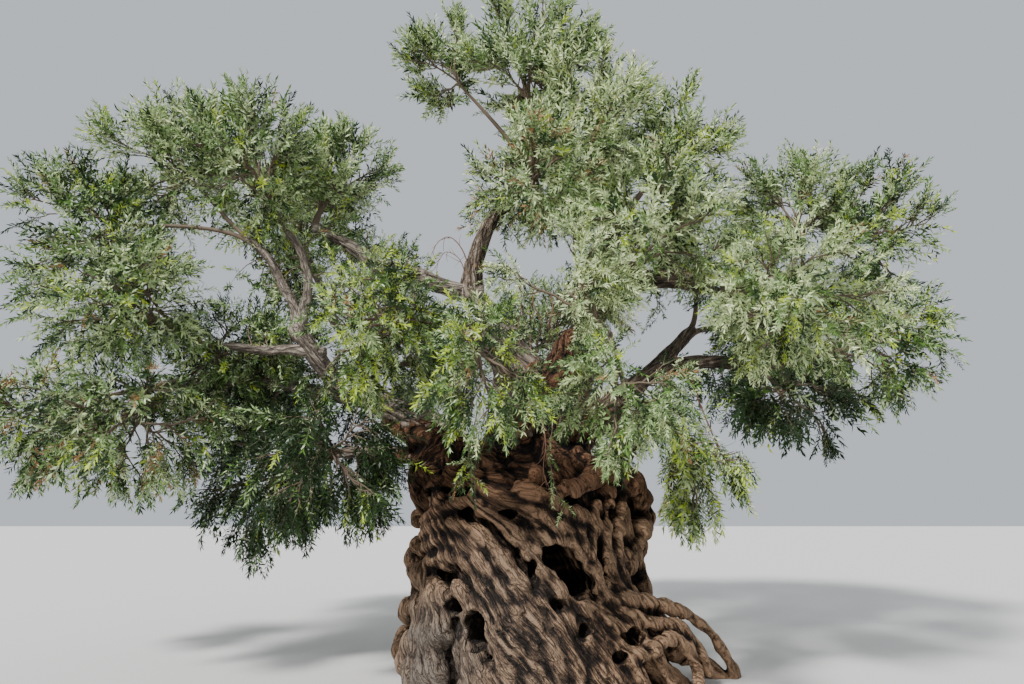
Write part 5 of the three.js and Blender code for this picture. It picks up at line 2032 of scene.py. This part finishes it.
@dataclass(frozen=True)
class Foliage:
    """The joined pieces of leaves, one for each colour and part of the crown."""

    shoots: Shoots
    near_front: float
    patterns: int = 10
    seed: int = FOLIAGE_SEED + 50

    def kinds(self, random: Generator) -> Array:
        """The leaf kind of each shoot, by the tone of its mass."""
        weights = np.array([mass.tone.value for mass in MASSES])[self.shoots.owners].cumsum(axis=1)
        drawn = random.random(len(weights)) * weights[:, -1]
        return (drawn[:, None] > weights[:, :-1]).sum(axis=1)

    def givers(self, kind: LeafKind, kinds: Array) -> list[tuple[Array, list[LeafSide]]]:
        """Which shoots give leaves of a kind.

        Args:
            kind: The leaf kind.
            kinds: Every shoot's own kind, by number.

        Returns:
            Groups of shoots as masks, each with the sides of the leaves that it gives.
        """
        order = list(LeafKind)
        deep = kinds == order.index(LeafKind.DEEP)
        # The deep kind paints shade: every leaf of its own shoots, undersides too, and the leaves drawn in
        # shade from all other shoots; its shoots show no pale undersides.
        if kind is LeafKind.DEEP:
            return [(deep, list(LeafSide)), (~deep, [LeafSide.INNER])]
        if kind is LeafKind.UNDERSIDE:
            return [(~deep, [LeafSide.UNDERSIDE])]
        return [(kinds == order.index(kind), [LeafSide.SUNNY])]

    def pieces(self) -> None:
        """Makes the leaf pieces of every colour and sector."""
        random = np.random.default_rng(self.seed)
        kinds = self.kinds(random)
        near = (MASS_CENTRES[:, 1] < self.near_front)[self.shoots.owners]
        form = np.where(self.shoots.outer, np.where(near, 2, 1), 0)
        pattern = random.integers(0, self.patterns, len(kinds)) + self.patterns * form
        forms = [shoot for shoot in (COARSE_SHOOT, FINE_SHOOT, NEAR_SHOOT) for _ in range(self.patterns)]
        leaf_sets = [shoot.leaves(FOLIAGE_SEED + i) for i, shoot in enumerate(forms)]
        axes = self.shoots.axes()
        for sector, kind in itertools.product(Sector, LeafKind):
            here = in_sector(self.shoots.owners, sector)
            found = []
            groups = itertools.product(self.givers(kind, kinds), enumerate(leaf_sets))
            for (giving, wanted), (number, (corners, sides)) in groups:
                chosen = here & giving & (pattern == number)
                leaves = np.einsum("sij,lcj->slci", axes[chosen], corners[np.isin(sides, wanted)])
                found.append((leaves + self.shoots.starts[chosen][:, None, None]).reshape(-1, 3))
            self.piece(f"{kind.value.name}_{sector.value}", kind, np.concatenate(found), sector)

    def piece(self, name: str, kind: LeafKind, places: Array, sector: Sector) -> None:
        """Joins the leaves of one colour and sector, each of four corners, into a piece."""
        first = np.arange(len(places) // 4)[:, None] * 4
        halves = np.concatenate([first + (0, 1, 3), first + (1, 2, 3)])
        mesh = mesh_from(name, places, [halves])
        fit_piece(mesh, name, kind.value, nodes_of(sector), soft=False)


@dataclass(frozen=True)
class CrownBuilder:
    """Grows the crown and makes its pieces."""

    crown: Crown = Crown()
    shoot_radii: Span = (0.0032, 0.001)

    def twig_pieces(self, name: str, twigs: Twigs, sides: int, finish: PlainFinish) -> None:
        """Joins twigs of one order, sector by sector."""
        for sector in Sector:
            part = twigs.picked(in_sector(twigs.owners, sector))
            if len(part.owners):
                title = f"{name}_{sector.value}"
                fit_piece(mesh_from(title, *part.meshed(sides)), title, finish, nodes_of(sector))

    def shoot_twigs(self, shoots: Shoots) -> Twigs:
        """The thin woody lines of the shoots."""
        line = FINE_SHOOT.stem_line(np.array([0.0, 1.0]))
        lines = np.einsum("sij,cj->sci", shoots.axes(), line) + shoots.starts[:, None]
        return Twigs.tapering(lines, self.shoot_radii, shoots.owners)

    def build(self) -> None:
        """Grows every order of twigs in turn."""
        random = np.random.default_rng(FOLIAGE_SEED)
        stems = self.crown.stems()
        boughs = self.crown.boughs(stems, random)
        twigs = self.crown.twigs(boughs, random)
        shoots = self.crown.shoots(twigs, random)
        sprigs = HangingSprigs(self.crown)
        leafy, dead = sprigs.stalks(True), sprigs.stalks(False)
        fringe = self.crown.fringe_twigs(random)
        shoots = shoots.and_also(sprigs.shoots(leafy, random))
        shoots = shoots.and_also(self.crown.shoots(fringe, random, free=True))
        log.info("boughs %d, twigs %d, shoots %d", len(boughs.lines), len(twigs.lines), len(shoots.starts))
        self.twig_pieces("sprig_stalks", leafy, 5, TWIG_BARK)
        self.twig_pieces("dead_stalks", dead, 6, DEAD_WOOD)
        self.twig_pieces("dead_twigs", sprigs.side(dead, random), 4, DEAD_WOOD)
        self.twig_pieces("crown_stems", stems, 10, TWIG_BARK)
        self.twig_pieces("crown_boughs", boughs, 5, TWIG_BARK)
        self.twig_pieces("crown_twigs", twigs.and_also(fringe), 4, TWIG_BARK)
        self.twig_pieces("crown_shoots", self.shoot_twigs(shoots), 3, SHOOT_BARK)
        Foliage(shoots, self.crown.near_front).pieces()


# Studio


@dataclass(frozen=True)
class Lamp:
    """A soft sun: its energy, its softness as an angle, and how it is tilted and turned, in degrees."""

    name: str
    energy: float
    softness: float
    tilt: float
    turn: float

    def build(self) -> None:
        """Hangs the lamp."""
        light = bpy.data.lights.new(self.name, "SUN")
        light.energy = self.energy
        light.angle = math.radians(self.softness)
        linked(self.name, light).rotation_euler = (math.radians(self.tilt), 0, math.radians(self.turn))


@dataclass(frozen=True)
class Studio:
    """The pale floor, the soft light and the camera."""

    floor_size: float = 60.0
    camera_place: Place = (-0.27, -7.5, 1.68)
    camera_pitch: float = 11.8
    lens: float = 25.3
    sensor: float = 36.0
    farthest: float = 200.0
    sky: Colour = (0.78, 0.83, 0.90, 1.0)
    sky_strength: float = 0.78
    lamps: tuple[Lamp, ...] = (Lamp("key", 5.5, 9, 46, -38), Lamp("fill", 0.7, 40, 60, 140))

    def floor(self) -> None:
        """The floor, which isn't part of the tree."""
        work = bmesh.new()
        bmesh.ops.create_grid(work, x_segments=2, y_segments=2, size=self.floor_size / 2)
        mesh = bpy.data.meshes.new("floor")
        work.to_mesh(mesh)
        work.free()
        mesh.materials.append(finish_of(FLOOR))
        linked("floor", mesh)

    def light(self) -> None:
        """A soft sun from the upper left of the viewer, a fill, and a pale sky all round."""
        world = bpy.data.worlds.new("studio_sky")
        world.use_nodes = True
        backdrop = world.node_tree.nodes["Background"]
        backdrop.inputs["Color"].default_value = self.sky
        backdrop.inputs["Strength"].default_value = self.sky_strength
        bpy.context.scene.world = world
        for lamp in self.lamps:
            lamp.build()

    def camera(self) -> None:
        """The camera at the photograph's viewing angle."""
        lens = bpy.data.cameras.new("camera")
        lens.lens = self.lens
        lens.sensor_width = self.sensor
        lens.clip_end = self.farthest
        camera = linked("camera", lens)
        camera.location = self.camera_place
        camera.rotation_euler = (math.radians(90 + self.camera_pitch), 0, 0)
        bpy.context.scene.camera = camera

    def build(self) -> None:
        """Sets up the whole studio."""
        self.floor()
        self.light()
        self.camera()


def write_sizes() -> None:
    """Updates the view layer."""
    bpy.context.view_layer.update()


def main() -> None:
    """Builds the tree piece by piece."""
    logging.basicConfig(level=logging.INFO, format="%(message)s")
    limbs = [BarkedLimb(limb) for limb in LIMBS]
    collars = [barked.collar() for barked in limbs if barked.limb.name in LIMBS_OFF_TRUNK]
    fit_piece(Trunk().built(collars), "trunk_ropes", TRUNK_BARK, ["trunk"])
    for barked in limbs:
        name = barked.limb.name
        fit_piece(barked.built(), f"{name}_bark", LIMB_BARK, [name])
    CrownBuilder().build()
    Studio().build()
    write_sizes()


if __name__ == "__main__":
    main()
